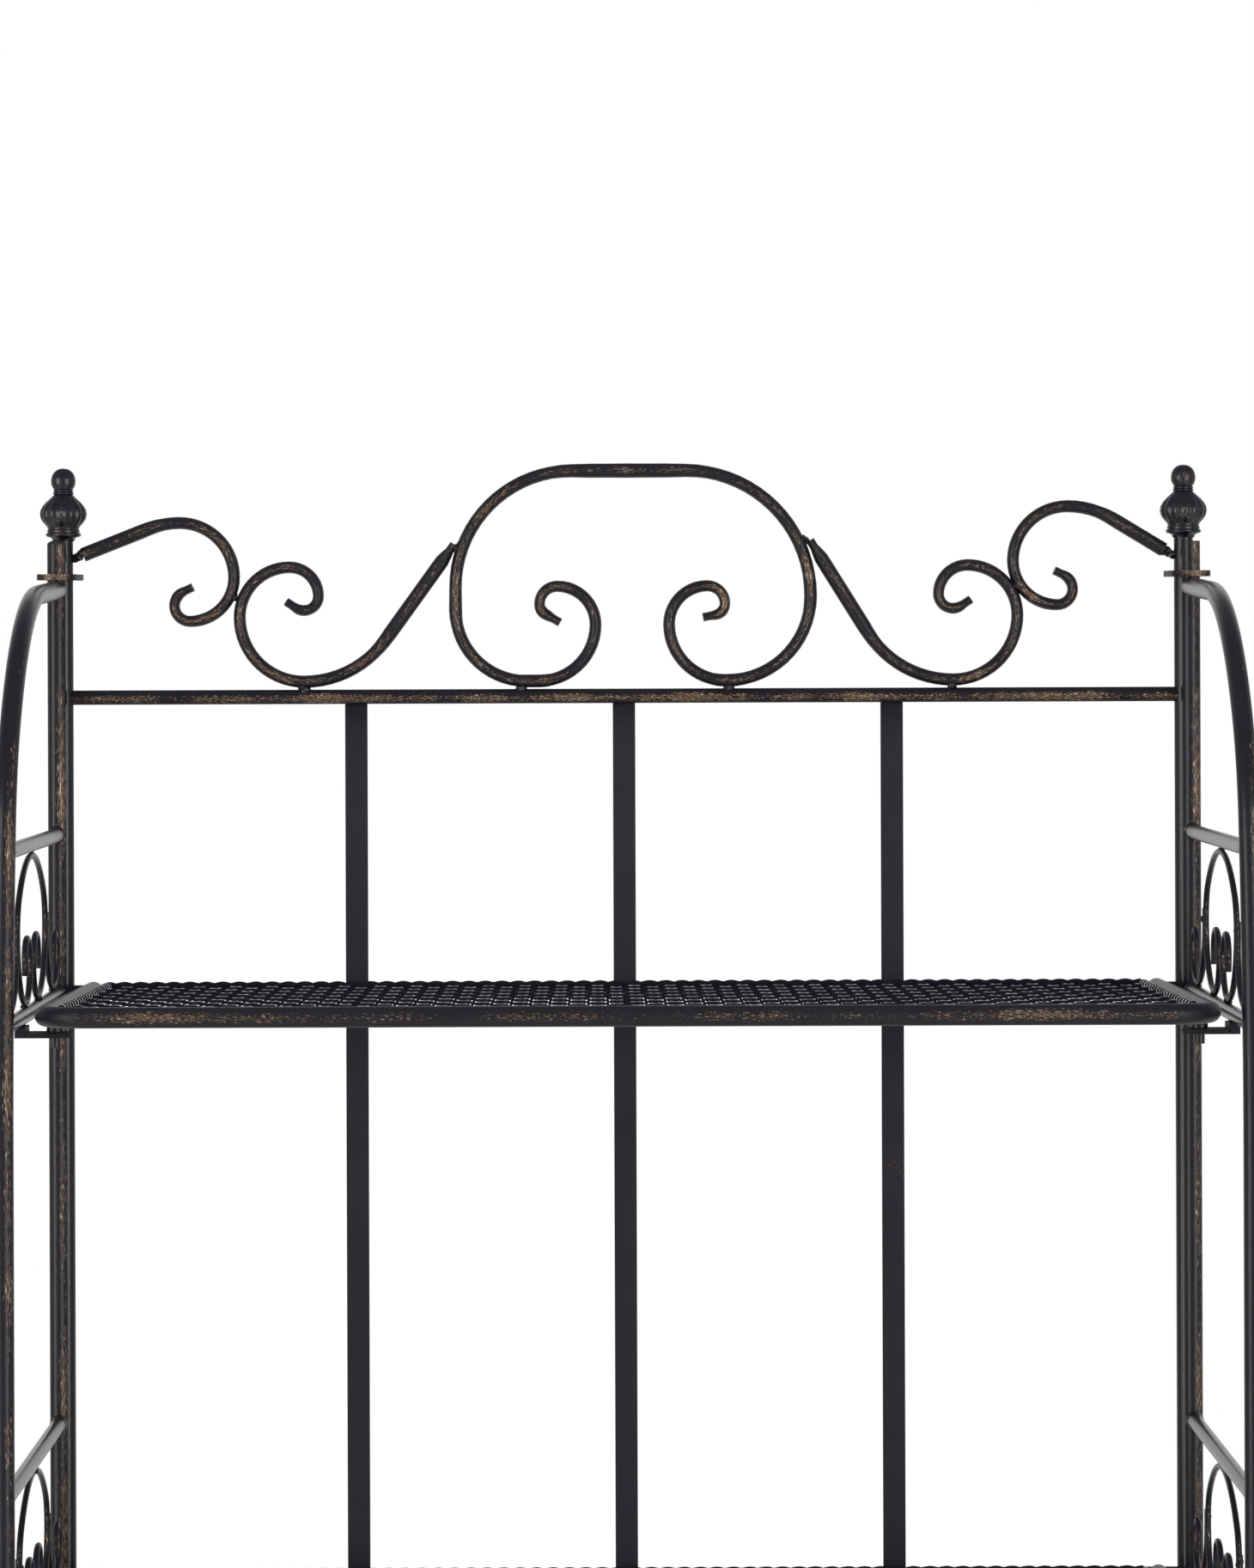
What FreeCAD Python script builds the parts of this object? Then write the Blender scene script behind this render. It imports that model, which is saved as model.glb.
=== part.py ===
"""Bakers rack: a scrolled back panel, two bow-fronted side frames that turn on its posts,
and lift-off mesh shelves that stand on tabs. Millimetres, +Z up, front at -Y, X = 0 in the
middle, origin on the floor at the middle of the rack's outline."""
import FreeCAD, Part
import math
import os

# ---- driving dimensions -------------------------------------------------------------------
post_spacing = 760.0          # between the back posts' axes
side_spread = 3.0             # how far a side frame's tubes stand outboard of the back post
side_offset = 15.0            # side frame's rear tube in front of the back posts
side_depth = 320.0            # side frame, rear tube to front tube
post_d = 13.0                 # round tube of the posts, side frames and shelf frames
rail_d = 10.0                 # round tube of the rails, bars and crest scrolls
wire_d = 4.0                  # round wire of the side panels' scrolls
tube_wall = 1.0
weld_gap = 0.3                # daylight between two round pieces beside their weld
running_gap = 0.3             # clearance around whatever turns, lifts or slides
bead_d = 7.0                  # weld bead on the tubes
wire_bead_d = 2.8             # weld bead on the wires

tier_count = 4
lowest_tier = 150.0           # height of the lowest back rail and side bars
tier_pitch = 397.0
top_rail_rise = 200.0         # top rail above the highest tier
post_rise = 106.0             # back post above the top rail
side_tube_rise = 103.5        # side frame's rear tube above the top rail
upper_bar_rise = 107.5        # a side panel's upper bar above its lower bar

slat_width = 15.2
slat_thickness = 3.0
slat_spacing = 182.0
slat_overrun = 3.0            # slat past the outermost rails' axes

bow_start_rise = 72.7         # bow tube's upper end above the top rail
bow_fall = 2.2                # degrees, slope of the bow's first straight run
bow_crown_r, bow_crown_turn = 206.0, 51.0
bow_shoulder_r, bow_shoulder_turn = 148.0, 26.0
bow_foot_r = 1080.0           # last, slow arc into the upright

plate_thickness = 4.0
plate_lobe_d = 27.0
lower_plate_drop = 60.0       # lower joint plate below the lowest side bars

foot_d = 14.0                 # head of a foot plug
foot_height = 6.0
foot_round = 1.0              # rounding of a foot plug's lower edge
plug_length = 18.0            # stem of a plug inside its tube
plug_fit = 0.1                # clearance of a plug or stub inside its tube
cap_height = 3.0              # dome that closes a side frame's rear tube

finial_height = 49.6
finial_ball_d = 16.8
finial_neck_d = 12.4
finial_neck_length = 2.5
finial_bulb_d = 32.0
finial_bulb_rise = 18.6       # widest place of the bulb above the post
finial_waist_d = 20.0
finial_waist_rise = 8.4
finial_ring_d = 24.3
finial_ring_rise = 4.5
finial_base_d = 15.0
finial_base_height = 2.0
finial_stub_length = 22.0

# The crest is bent by hand, so some sizes differ between its left and right halves.
crest_height = 152.8          # arch's centre-line above the top rail
arch_offset = 2.0             # arch is set this far right of the middle
arch_flat_left = 37.1         # half of the arch's level top
arch_flat_right = 40.3
arch_leg_left = 15.5          # straight run of a leg
arch_leg_right = 1.0
arch_foot = 68.0              # where a leg of the arch comes down on the rail
arch_foot_run_left = 8.7      # leg's level run along the rail
arch_foot_run_right = 1.0
arch_curl_r = 38.2
arch_eye_r = 26.0
arch_tip_r = 12.0
arch_hook_r = 8.0             # tighter bend at the very end
arch_hook_turn_left = 60.0
arch_hook_turn_right = 80.0
arch_hook_run_left = 11.5
arch_hook_run_right = 8.5
scroll_slope_left = 54.1      # degrees, S-scroll's straight run
scroll_slope_right = 58.1
scroll_run_left = 80.0
scroll_run_right = 74.0
scroll_foot_left = 216.8      # where the S-scroll touches the rail
scroll_foot_right = 223.4
scroll_foot_r = 67.9
scroll_side_r = 43.8
scroll_top_r = 33.9
scroll_curl_r = 19.6
scroll_tip_r, scroll_tip_turn = 9.8, 123.7
scroll_tip_run = 8.0
wing_top = 301.2              # outer scroll: its highest point
wing_rise_left = 118.3
wing_rise_right = 127.6
wing_arm_r = 58.7             # arc from the top towards the post
wing_arm_turn_left = 21.5     # degrees, and its slope down to the post
wing_arm_turn_right = 31.3
wing_side_r = 36.9
wing_curl_r = 29.9
wing_eye_r = 10.6
wing_tip_turn = 64.7
wing_tip_run = 7.2
post_bite = 4.0               # arm runs this far into the post before it is coped

panel_half_width = 80.0
panel_crown_turn = 40.0       # degrees of flat crown on each side of the arch's top
panel_foot = 34.0             # where a leg of the arch touches the bar, from its middle
panel_curl_r = 24.5
panel_eye_r = 16.5
panel_tip_r, panel_tip_turn = 12.5, 98.0
panel_tip_run = 9.0
hook_start = 52.0             # side scroll's weld on the arch's leg, above the scroll's foot
hook_side_r = 24.0
hook_top_r = 11.0
hook_tip_r = 9.0
hook_tip_run = 12.0

shelf_side_gap = 10.0         # shelf's side tubes stand this far inside the side frames
shelf_corner_r = 30.0
shelf_rise = 7.0              # shelf tube's axis above the side bars' axes, at the front
shelf_rake = 1.0              # degrees, falling to the back
shelf_back_gap = 2.0          # shelf's side tubes end this far in front of the back rail
deck_thickness = 1.2
deck_rise = 3.5               # deck above the shelf tube's axis
edge_rod_d = 6.0              # rod that the deck's mesh is wrapped around
mesh_pitch_x = 24.4           # the solid deck's diamonds span two columns of the mesh
mesh_pitch_y = 42.0
strand_width = 4.8
deck_border = 3.0

tab_thickness = 3.0
tab_width = 22.0
tab_inner_reach = 11.0        # tab past the pin, towards the middle of the shelf
tab_outer_reach = 3.0         # tab past the side bar's axis
tab_drop = 8.2                # tab's top face below the side bar's axis
tab_web_thickness = 3.0
front_tab = 233.0             # pins, forward of the side frame's rear tube
back_tab = 60.0
pin_d = 7.0
pin_reach = 6.5               # pin below the tab
collar_d = 11.0

# ---- derived places -----------------------------------------------------------------------
post_r, rail_r, wire_r, pin_r = post_d / 2, rail_d / 2, wire_d / 2, pin_d / 2
post_x = post_spacing / 2
side_x = post_x + side_spread
back_reach = max(finial_bulb_d / 2, plate_lobe_d / 2)
front_reach = max(foot_d / 2, post_r)
post_y = (side_offset + side_depth + front_reach + back_reach) / 2 - back_reach
rear_y = post_y - side_offset
front_y = rear_y - side_depth
tiers = [lowest_tier + tier_pitch * number for number in range(tier_count)]
top_z = tiers[-1] + top_rail_rise
post_top = top_z + post_rise
side_top = top_z + side_tube_rise
bow_z = top_z + bow_start_rise
plate_z = bow_z + post_r + running_gap
lower_plate_z = lowest_tier - lower_plate_drop
panel_middle = side_depth / 2
tube_bore_r = post_r - tube_wall
shelf_x = side_x - post_d - shelf_side_gap
pin_x = shelf_x
edge_x = shelf_x - post_r - weld_gap - edge_rod_d / 2
shelf_back_y = post_y - rail_r - shelf_back_gap
SIDES = (("left", -1), ("right", 1))
ARCH_SIZES = {-1: (arch_flat_left, arch_leg_left, arch_foot_run_left),
              1: (arch_flat_right, arch_leg_right, arch_foot_run_right)}
HOOK_SIZES = {-1: (arch_hook_turn_left, arch_hook_run_left),
              1: (arch_hook_turn_right, arch_hook_run_right)}
SCROLL_SIZES = {-1: (scroll_slope_left, scroll_run_left, scroll_foot_left),
                1: (scroll_slope_right, scroll_run_right, scroll_foot_right)}
WING_SIZES = {-1: (wing_rise_left, wing_arm_turn_left),
              1: (wing_rise_right, wing_arm_turn_right)}


# ---- small tools --------------------------------------------------------------------------
def vec(x, y, z):
    return FreeCAD.Vector(x, y, z)


def round_bar(start, end, radius):
    along = end - start
    return Part.makeCylinder(radius, along.Length, start, along)


def tube(start, end, outer_d, wall=tube_wall):
    return round_bar(start, end, outer_d / 2).cut(round_bar(start, end, outer_d / 2 - wall))


def on_side(shape, side):
    """The right-hand piece as it is, or its mirror image on the left."""
    if side > 0:
        return shape
    return shape.mirror(vec(0, 0, 0), vec(1, 0, 0))


def save(node, *solids):
    shape = solids[0] if len(solids) == 1 else Part.makeCompound(list(solids))
    shape.exportStep(os.path.join("parts", node + ".step"))


class Bend:
    """A bender's path in a flat plane: straight runs and arcs, each tangent to the last.
    heading is in degrees from the plane's across direction; a positive turn goes left."""

    def __init__(self, across, up, heading, place):
        self.u, self.v = across, up
        self.heading = math.radians(heading)
        self.place = place
        self.edges = []
        self.start = self.point()
        self.start_way = self.way()

    def point(self, u=None, v=None):
        return self.place(self.u if u is None else u, self.v if v is None else v)

    def way(self):
        ahead = self.point(self.u + math.cos(self.heading), self.v + math.sin(self.heading))
        return ahead - self.point()

    def run(self, length):
        begin = self.point()
        self.u += length * math.cos(self.heading)
        self.v += length * math.sin(self.heading)
        self.edges.append(Part.LineSegment(begin, self.point()).toShape())
        return self

    def turn(self, radius, degrees):
        begin = self.point()
        sign = 1 if degrees > 0 else -1
        centre_u = self.u - sign * radius * math.sin(self.heading)
        centre_v = self.v + sign * radius * math.cos(self.heading)

        def on_arc(heading):
            return (centre_u + sign * radius * math.sin(heading),
                    centre_v - sign * radius * math.cos(heading))

        middle = on_arc(self.heading + math.radians(degrees) / 2)
        self.heading += math.radians(degrees)
        self.u, self.v = on_arc(self.heading)
        self.edges.append(Part.Arc(begin, self.point(*middle), self.point()).toShape())
        return self

    def sweep(self, radius):
        ring = Part.Wire([Part.makeCircle(radius, self.start, self.start_way)])
        solid = Part.Wire(self.edges).makePipeShell([ring], True, False)
        return solid if solid.Volume > 0 else solid.reversed()

    def tube(self, outer_d, wall=tube_wall):
        return self.sweep(outer_d / 2).cut(self.sweep(outer_d / 2 - wall))


def bead(centre, diameter):
    """Weld bead: a ball whose seam lies clear of the pieces it joins."""
    return Part.makeSphere(diameter / 2, centre, vec(1, 1, 1))


def in_back_plane(u, v):
    """Plane of the back panel, v measured up from the top rail's axis."""
    return vec(u, post_y, top_z + v)


# ---- back panel ---------------------------------------------------------------------------
def rail(z):
    whole = tube(vec(-post_x, post_y, z), vec(post_x, post_y, z), rail_d)
    for side in (-1, 1):
        whole = whole.cut(post_core(side))
    return whole


def post_core(side):
    x = side * post_x
    return round_bar(vec(x, post_y, 0), vec(x, post_y, post_top), post_r)


def back_post(side):
    x = side * post_x
    return tube(vec(x, post_y, foot_height), vec(x, post_y, post_top), post_d)


def slat(x):
    low = tiers[0] - slat_overrun
    high = top_z + slat_overrun
    return Part.makeBox(slat_width, slat_thickness, high - low,
                        vec(x - slat_width / 2, post_y + rail_r, low))


def finial():
    """Cast knob, turned profile, with a stub that fits inside the back post."""
    stub_r = tube_bore_r - plug_fit
    low = post_top
    top = low + finial_height
    foot = low - finial_stub_length
    ball_r = finial_ball_d / 2
    neck_r = finial_neck_d / 2
    neck_z = top - ball_r - math.sqrt(ball_r ** 2 - neck_r ** 2)
    base_r = finial_base_d / 2
    base_top = low + finial_base_height
    waist = vec(finial_waist_d / 2, 0, low + finial_waist_rise)
    bulb = Part.BSplineCurve()
    bulb.interpolate([waist, vec(finial_bulb_d / 2, 0, low + finial_bulb_rise),
                      vec(neck_r, 0, neck_z - finial_neck_length)])
    profile = Part.makePolygon([vec(0, 0, top), vec(0, 0, foot), vec(stub_r, 0, foot),
                                vec(stub_r, 0, low), vec(base_r, 0, low),
                                vec(base_r, 0, base_top),
                                vec(finial_ring_d / 2, 0, low + finial_ring_rise),
                                waist]).Edges
    neck = vec(neck_r, 0, neck_z)
    profile.append(bulb.toShape())
    profile.append(Part.LineSegment(neck - vec(0, 0, finial_neck_length), neck).toShape())
    profile.append(Part.Arc(neck, vec(ball_r, 0, top - ball_r), vec(0, 0, top)).toShape())
    solid = Part.Face(Part.Wire(profile)).revolve(vec(0, 0, 0), vec(0, 0, 1), 360)
    solid.translate(vec(post_x, post_y, 0))
    return solid


# ---- crest --------------------------------------------------------------------------------
def half_arch(side):
    """Half of the arch, drawn to the right, from its middle over the shoulder to the curl."""
    flat, leg, foot_run = ARCH_SIZES[side]
    hook_turn, hook_run = HOOK_SIZES[side]
    drop = crest_height - rail_r * 2 - weld_gap - leg
    spread = arch_foot - flat
    path = Bend(side * arch_offset, crest_height, 0, in_back_plane).run(flat)
    path.turn((drop + spread) / 2, -90).run(leg).turn((drop - spread) / 2, -90)
    path.run(foot_run).turn(arch_curl_r, -90).turn(arch_eye_r, -90)
    return path.turn(arch_tip_r, -90).turn(arch_hook_r, -hook_turn).run(hook_run)


def crest_arch():
    halves = []
    for side in (1, -1):
        half = half_arch(side)
        foot = in_back_plane(side * arch_offset + arch_foot, rail_r + weld_gap / 2)
        solid = half.sweep(rail_r).fuse(bead(foot, bead_d)).cut(half.sweep(rail_r - tube_wall))
        halves.append(on_side(solid.cut(rail_core(top_z)), side))
    return halves[0].fuse(halves[1]).removeSplitter()


def rail_core(z):
    return round_bar(vec(-post_x, post_y, z), vec(post_x, post_y, z), rail_r)


def s_scroll_path(side):
    slope, run, foot = SCROLL_SIZES[side]
    fall = math.radians(slope)
    straight_u = foot - scroll_foot_r * math.sin(fall)
    straight_v = rail_r * 2 + weld_gap + scroll_foot_r * (1 - math.cos(fall))
    path = Bend(straight_u - run * math.cos(fall), straight_v + run * math.sin(fall), -slope,
                in_back_plane)
    path.run(run).turn(scroll_foot_r, slope).turn(scroll_side_r, 90).turn(scroll_top_r, 90)
    path.turn(scroll_curl_r, 90).turn(scroll_tip_r, scroll_tip_turn)
    return path.run(scroll_tip_run)


def s_scroll(side):
    path = s_scroll_path(side)
    foot = in_back_plane(SCROLL_SIZES[side][2], rail_r + weld_gap / 2)
    solid = path.sweep(rail_r).fuse(bead(foot, bead_d)).cut(path.sweep(rail_r - tube_wall))
    return solid.cut(rail_core(top_z)).cut(half_arch(side).sweep(rail_r))


def wing_path(side):
    """Outer scroll, drawn from the post up its arm, over the hump and into the curl."""
    rise, slope = WING_SIZES[side]
    fall = math.radians(slope)
    post_face = post_x - post_r + post_bite
    run = (post_face - wing_top - wing_arm_r * math.sin(fall)) / math.cos(fall)
    start_v = rise - wing_arm_r * (1 - math.cos(fall)) - run * math.sin(fall)
    path = Bend(post_face, start_v, 180 - slope, in_back_plane)
    path.run(run).turn(wing_arm_r, slope).turn(wing_side_r, 90).turn(wing_curl_r, 90)
    return path.turn(wing_eye_r, 90).turn(wing_eye_r, wing_tip_turn).run(wing_tip_run)


def outer_scroll(side):
    path = wing_path(side)
    neighbour = s_scroll_path(side)
    # The weld to the S-scroll sits where the two centre-lines come closest.
    ours, theirs = Part.Wire(path.edges).distToShape(Part.Wire(neighbour.edges))[1][0]
    solid = path.sweep(rail_r).fuse(bead((ours + theirs) / 2, bead_d))
    solid = solid.cut(path.sweep(rail_r - tube_wall))
    return solid.cut(neighbour.sweep(rail_r)).cut(post_core(1))


# ---- side frames --------------------------------------------------------------------------
def in_side_plane(forward, z):
    return vec(side_x, rear_y - forward, z)


def rear_tube_core():
    return round_bar(in_side_plane(0, 0), in_side_plane(0, side_top), post_r)


def side_rear_tube():
    return tube(in_side_plane(0, foot_height), in_side_plane(0, side_top), post_d)


def bow_path():
    """Leaves the rear tube level, bows over and comes down as the front upright."""
    foot_turn = 90 - bow_fall - bow_crown_turn - bow_shoulder_turn
    reach = 0
    slope = bow_fall
    for radius, degrees in ((bow_crown_r, bow_crown_turn), (bow_shoulder_r, bow_shoulder_turn),
                            (bow_foot_r, foot_turn)):
        begin, end = math.radians(slope), math.radians(slope + degrees)
        reach += radius * (math.sin(end) - math.sin(begin))
        slope += degrees
    run = (side_depth - reach) / math.cos(math.radians(bow_fall))
    path = Bend(0, bow_z, -bow_fall, in_side_plane).run(run)
    path.turn(bow_crown_r, -bow_crown_turn).turn(bow_shoulder_r, -bow_shoulder_turn)
    path.turn(bow_foot_r, -foot_turn)
    return path.run(path.v - foot_height)


def front_tube_at(bow, z):
    """Where the front tube's axis is at a height, forward of the rear tube."""
    level = Part.makeLine(in_side_plane(0, z), in_side_plane(2 * side_depth, z))
    meeting = Part.Wire(bow.edges).distToShape(level)[1][0][0]
    return rear_y - meeting.y


def side_bar(z, bow, front_core):
    end = in_side_plane(front_tube_at(bow, z), z)
    whole = tube(in_side_plane(0, z), end, rail_d)
    return whole.cut(rear_tube_core()).cut(front_core)


def panel_arch(z):
    """Arch of round wire between a side panel's two bars, both legs curled inwards."""
    low = z + rail_r + weld_gap + wire_r
    high = z + upper_bar_rise - rail_r - weld_gap - wire_r
    leg_r = panel_half_width - panel_foot
    drop = high - low - leg_r
    # Crown and shoulder radii that reach the half width and the drop in 90 degrees together.
    sine = math.sin(math.radians(panel_crown_turn))
    cosine = math.cos(math.radians(panel_crown_turn))
    shoulder_r = ((drop * sine - panel_half_width * (1 - cosine))
                  / (sine * cosine - (1 - sine) * (1 - cosine)))
    crown_r = (panel_half_width - shoulder_r * (1 - sine)) / sine
    pieces = [bead(in_side_plane(panel_middle, high + wire_r + weld_gap / 2), wire_bead_d)]
    for sign in (-1, 1):
        path = Bend(0, high, 0, mirrored_side_plane(sign)).turn(crown_r, -panel_crown_turn)
        path.turn(shoulder_r, panel_crown_turn - 90).turn(leg_r, -90).turn(panel_curl_r, -90)
        path.turn(panel_eye_r, -90).turn(panel_tip_r, -panel_tip_turn).run(panel_tip_run)
        foot = path.place(panel_foot, low - wire_r - weld_gap / 2)
        pieces += [path.sweep(wire_r), bead(foot, wire_bead_d)]
    solid = pieces[0].fuse(pieces[1:])
    return solid.cut(bar_core(z)).cut(bar_core(z + upper_bar_rise)).removeSplitter()


def mirrored_side_plane(sign):
    """Side plane measured from the arch's middle, towards the front tube or the rear one."""
    return lambda u, v: in_side_plane(panel_middle + sign * u, v)


def bar_core(z):
    return round_bar(in_side_plane(0, z), in_side_plane(side_depth, z), rail_r)


def panel_hook(z, arch, bow, sign):
    """Small scroll beside the arch: welded high on the leg, it swings down to the lower bar,
    up against the tube and over into a curl."""
    low = z + rail_r + weld_gap + wire_r
    start = panel_half_width + wire_r * 2 + weld_gap
    touch = low + hook_side_r
    post, lean = panel_middle, 0
    if sign > 0:
        # The front tube leans inwards near its top.
        post = front_tube_at(bow, touch) - panel_middle
        lean = math.atan2(front_tube_at(bow, touch - 1) - front_tube_at(bow, touch + 1), 2)
    stand_off = hook_top_r + wire_r + weld_gap + post_r
    side = post + hook_top_r - stand_off / math.cos(lean)
    swing_r = side - start - hook_side_r
    high = low + hook_start
    path = Bend(start, high, -90, mirrored_side_plane(sign)).run(hook_start - swing_r)
    path.turn(swing_r, 90).turn(hook_side_r, 90).turn(hook_top_r, 90)
    path.turn(hook_tip_r, 90).run(hook_tip_run)
    weld_r = hook_top_r + wire_r + weld_gap / 2
    beads = [bead(path.place(start + swing_r, low - wire_r - weld_gap / 2), wire_bead_d),
             bead(path.place(side - hook_top_r + weld_r * math.cos(lean),
                             touch + weld_r * math.sin(lean)), wire_bead_d),
             bead(path.place(start - wire_r - weld_gap / 2,
                             low + panel_half_width - panel_foot), wire_bead_d)]
    upright = rear_tube_core() if sign < 0 else bow.sweep(post_r)
    solid = path.sweep(wire_r).fuse(beads)
    return solid.cut(bar_core(z)).cut(arch).cut(upright)


def joint_plate(z):
    """Flat plate with two holes: it turns on the back post and is welded to the side frame."""
    lobe_r = plate_lobe_d / 2
    at_post = vec(post_x, post_y, z)
    at_tube = vec(side_x, rear_y, z)
    plate = Part.makeCylinder(lobe_r, plate_thickness, at_post)
    plate = plate.fuse(Part.makeCylinder(lobe_r, plate_thickness, at_tube))
    along = (at_tube - at_post).normalize()
    across = along.cross(vec(0, 0, 1)) * lobe_r
    corners = [at_post + across, at_tube + across, at_tube - across, at_post - across]
    waist = Part.Face(Part.makePolygon(corners + corners[:1]))
    plate = plate.fuse(waist.extrude(vec(0, 0, plate_thickness))).removeSplitter()
    post_hole = Part.makeCylinder(post_r + running_gap, plate_thickness, at_post)
    tube_hole = Part.makeCylinder(post_r, plate_thickness, at_tube)
    return plate.cut(post_hole).cut(tube_hole)


def tabs(z):
    """Two flat tabs under a side bar, each with a web up to the bar and a hole for a pin."""
    solids = []
    half = tab_width / 2
    top = z - tab_drop
    inner = pin_x - tab_inner_reach
    outer = side_x + tab_outer_reach
    for forward in (back_tab, front_tab):
        y = rear_y - forward
        strap = Part.makeBox(outer - inner - half, tab_width, tab_thickness,
                             vec(inner + half, y - half, top - tab_thickness))
        nose = Part.makeCylinder(half, tab_thickness, vec(inner + half, y, top - tab_thickness))
        web = Part.makeBox(tab_web_thickness, tab_width, tab_drop,
                           vec(side_x - tab_web_thickness / 2, y - half, top))
        hole = Part.makeCylinder(pin_r + running_gap, tab_thickness,
                                 vec(pin_x, y, top - tab_thickness))
        solids.append(strap.fuse([nose, web]).removeSplitter().cut(hole).cut(bar_core(z)))
    return solids


def foot_plug(x, y):
    head = Part.makeCylinder(foot_d / 2, foot_height, vec(x, y, 0))
    head = head.makeFillet(foot_round, [edge for edge in head.Edges
                                        if edge.BoundBox.ZMax < foot_round / 2])
    stem_r = tube_bore_r - plug_fit
    return head.fuse(Part.makeCylinder(stem_r, plug_length, vec(x, y, foot_height)))


def tube_cap():
    """Domed plastic cap in the upper end of the left side frame's rear tube."""
    stem_r = tube_bore_r - plug_fit
    place = in_side_plane(0, side_top)
    dome_r = (post_r ** 2 + cap_height ** 2) / (2 * cap_height)
    dome = Part.makeSphere(dome_r, place + vec(0, 0, cap_height - dome_r))
    dome = dome.common(Part.makeCylinder(post_r, cap_height, place))
    return dome.fuse(Part.makeCylinder(stem_r, plug_length, place - vec(0, 0, plug_length)))


# ---- shelves ------------------------------------------------------------------------------
def raked(shape, z):
    """Turns a shelf's piece about the front tube, so that the shelf falls to the back."""
    turned = shape.copy()
    turned.rotate(vec(0, front_y, z + shelf_rise), vec(1, 0, 0), -shelf_rake)
    return turned


def shelf_path(z):
    """Front tube with its two rounded corners, and a straight tube back along each side."""
    height = z + shelf_rise
    side_run = shelf_back_y - front_y - shelf_corner_r
    path = Bend(-shelf_x, shelf_back_y, -90, lambda u, v: vec(u, v, height))
    path.run(side_run).turn(shelf_corner_r, 90).run(2 * (shelf_x - shelf_corner_r))
    return path.turn(shelf_corner_r, 90).run(side_run)


def edge_rod(z):
    """Round rod along the deck's sides and back, mitred at the two back corners."""
    height = z + shelf_rise + deck_rise
    back = shelf_back_y - edge_rod_d / 2
    front = front_y + shelf_corner_r
    corners = [vec(-edge_x, front, height), vec(-edge_x, back, height),
               vec(edge_x, back, height), vec(edge_x, front, height)]
    ring = Part.Wire([Part.makeCircle(edge_rod_d / 2, corners[0], vec(0, 1, 0))])
    path = Part.makePolygon(corners)
    return path.makePipeShell([ring], True, False, 1)


def deck_outline(z):
    inner = edge_x - edge_rod_d / 2 - weld_gap
    back = shelf_back_y - edge_rod_d - weld_gap
    front = front_y + post_r + weld_gap
    corner = shelf_corner_r - post_r
    points = [vec(-inner, front + corner, z), vec(-inner, back, z), vec(inner, back, z),
              vec(inner, front + corner, z), vec(inner - corner, front, z),
              vec(corner - inner, front, z)]
    return points, inner, front, back


def deck(z):
    """Expanded mesh: diamonds in staggered rows inside a plain border."""
    height = z + shelf_rise + deck_rise - deck_thickness / 2
    points, inner, front, back = deck_outline(height)
    sheet = Part.Wire(Part.makePolygon(points + points[:1]).Edges)
    columns = int((2 * inner - 2 * deck_border) / mesh_pitch_x)
    rows = int((back - front - 2 * deck_border) / mesh_pitch_y)
    mid_y = (front + back) / 2
    # The strand's width is measured square to its run, along a diamond's side.
    side = math.hypot(mesh_pitch_x, mesh_pitch_y)
    half_x = mesh_pitch_x / 2 - strand_width / 2 * side / mesh_pitch_y
    half_y = mesh_pitch_y / 2 - strand_width / 2 * side / mesh_pitch_x
    clear_corner = shelf_corner_r + mesh_pitch_x
    holes = []
    for step in range(2 * rows - 1):
        y = mid_y + (step - rows + 1) * mesh_pitch_y / 2
        shift = step % 2
        for number in range(columns - shift):
            x = (number - (columns - shift - 1) / 2) * mesh_pitch_x
            if inner - abs(x) < clear_corner and y - front < clear_corner:
                continue
            ring = [vec(x + half_x, y, height), vec(x, y + half_y, height),
                    vec(x - half_x, y, height), vec(x, y - half_y, height)]
            holes.append(Part.makePolygon(ring + ring[:1]))
    return Part.Face([sheet] + holes).extrude(vec(0, 0, deck_thickness))


def pins(z, frame_core):
    """Pins under the shelf's side tubes, each with a collar that rests on its tab."""
    solids = []
    tab_top = z - tab_drop
    for forward in (back_tab, front_tab):
        y = rear_y - forward
        axis_z = z + shelf_rise - math.tan(math.radians(shelf_rake)) * (y - front_y)
        for side in (-1, 1):
            x = side * pin_x
            collar = Part.makeCylinder(collar_d / 2, axis_z - tab_top - running_gap,
                                       vec(x, y, tab_top + running_gap))
            length = tab_thickness + pin_reach + running_gap
            pin = Part.makeCylinder(pin_r, length, vec(x, y, tab_top - tab_thickness - pin_reach))
            solids.append(collar.fuse(pin).cut(frame_core))
    return solids


# ---- build --------------------------------------------------------------------------------
os.makedirs("parts", exist_ok=True)
bow = bow_path()
bow_core = bow.sweep(post_r)
bow_tube = bow.tube(post_d).cut(rear_tube_core())
save("top_rail", rail(top_z))
save("crest_arch", crest_arch())
for name, offset in (("left", -1), ("centre", 0), ("right", 1)):
    save("slat_" + name, slat(offset * slat_spacing))

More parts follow.
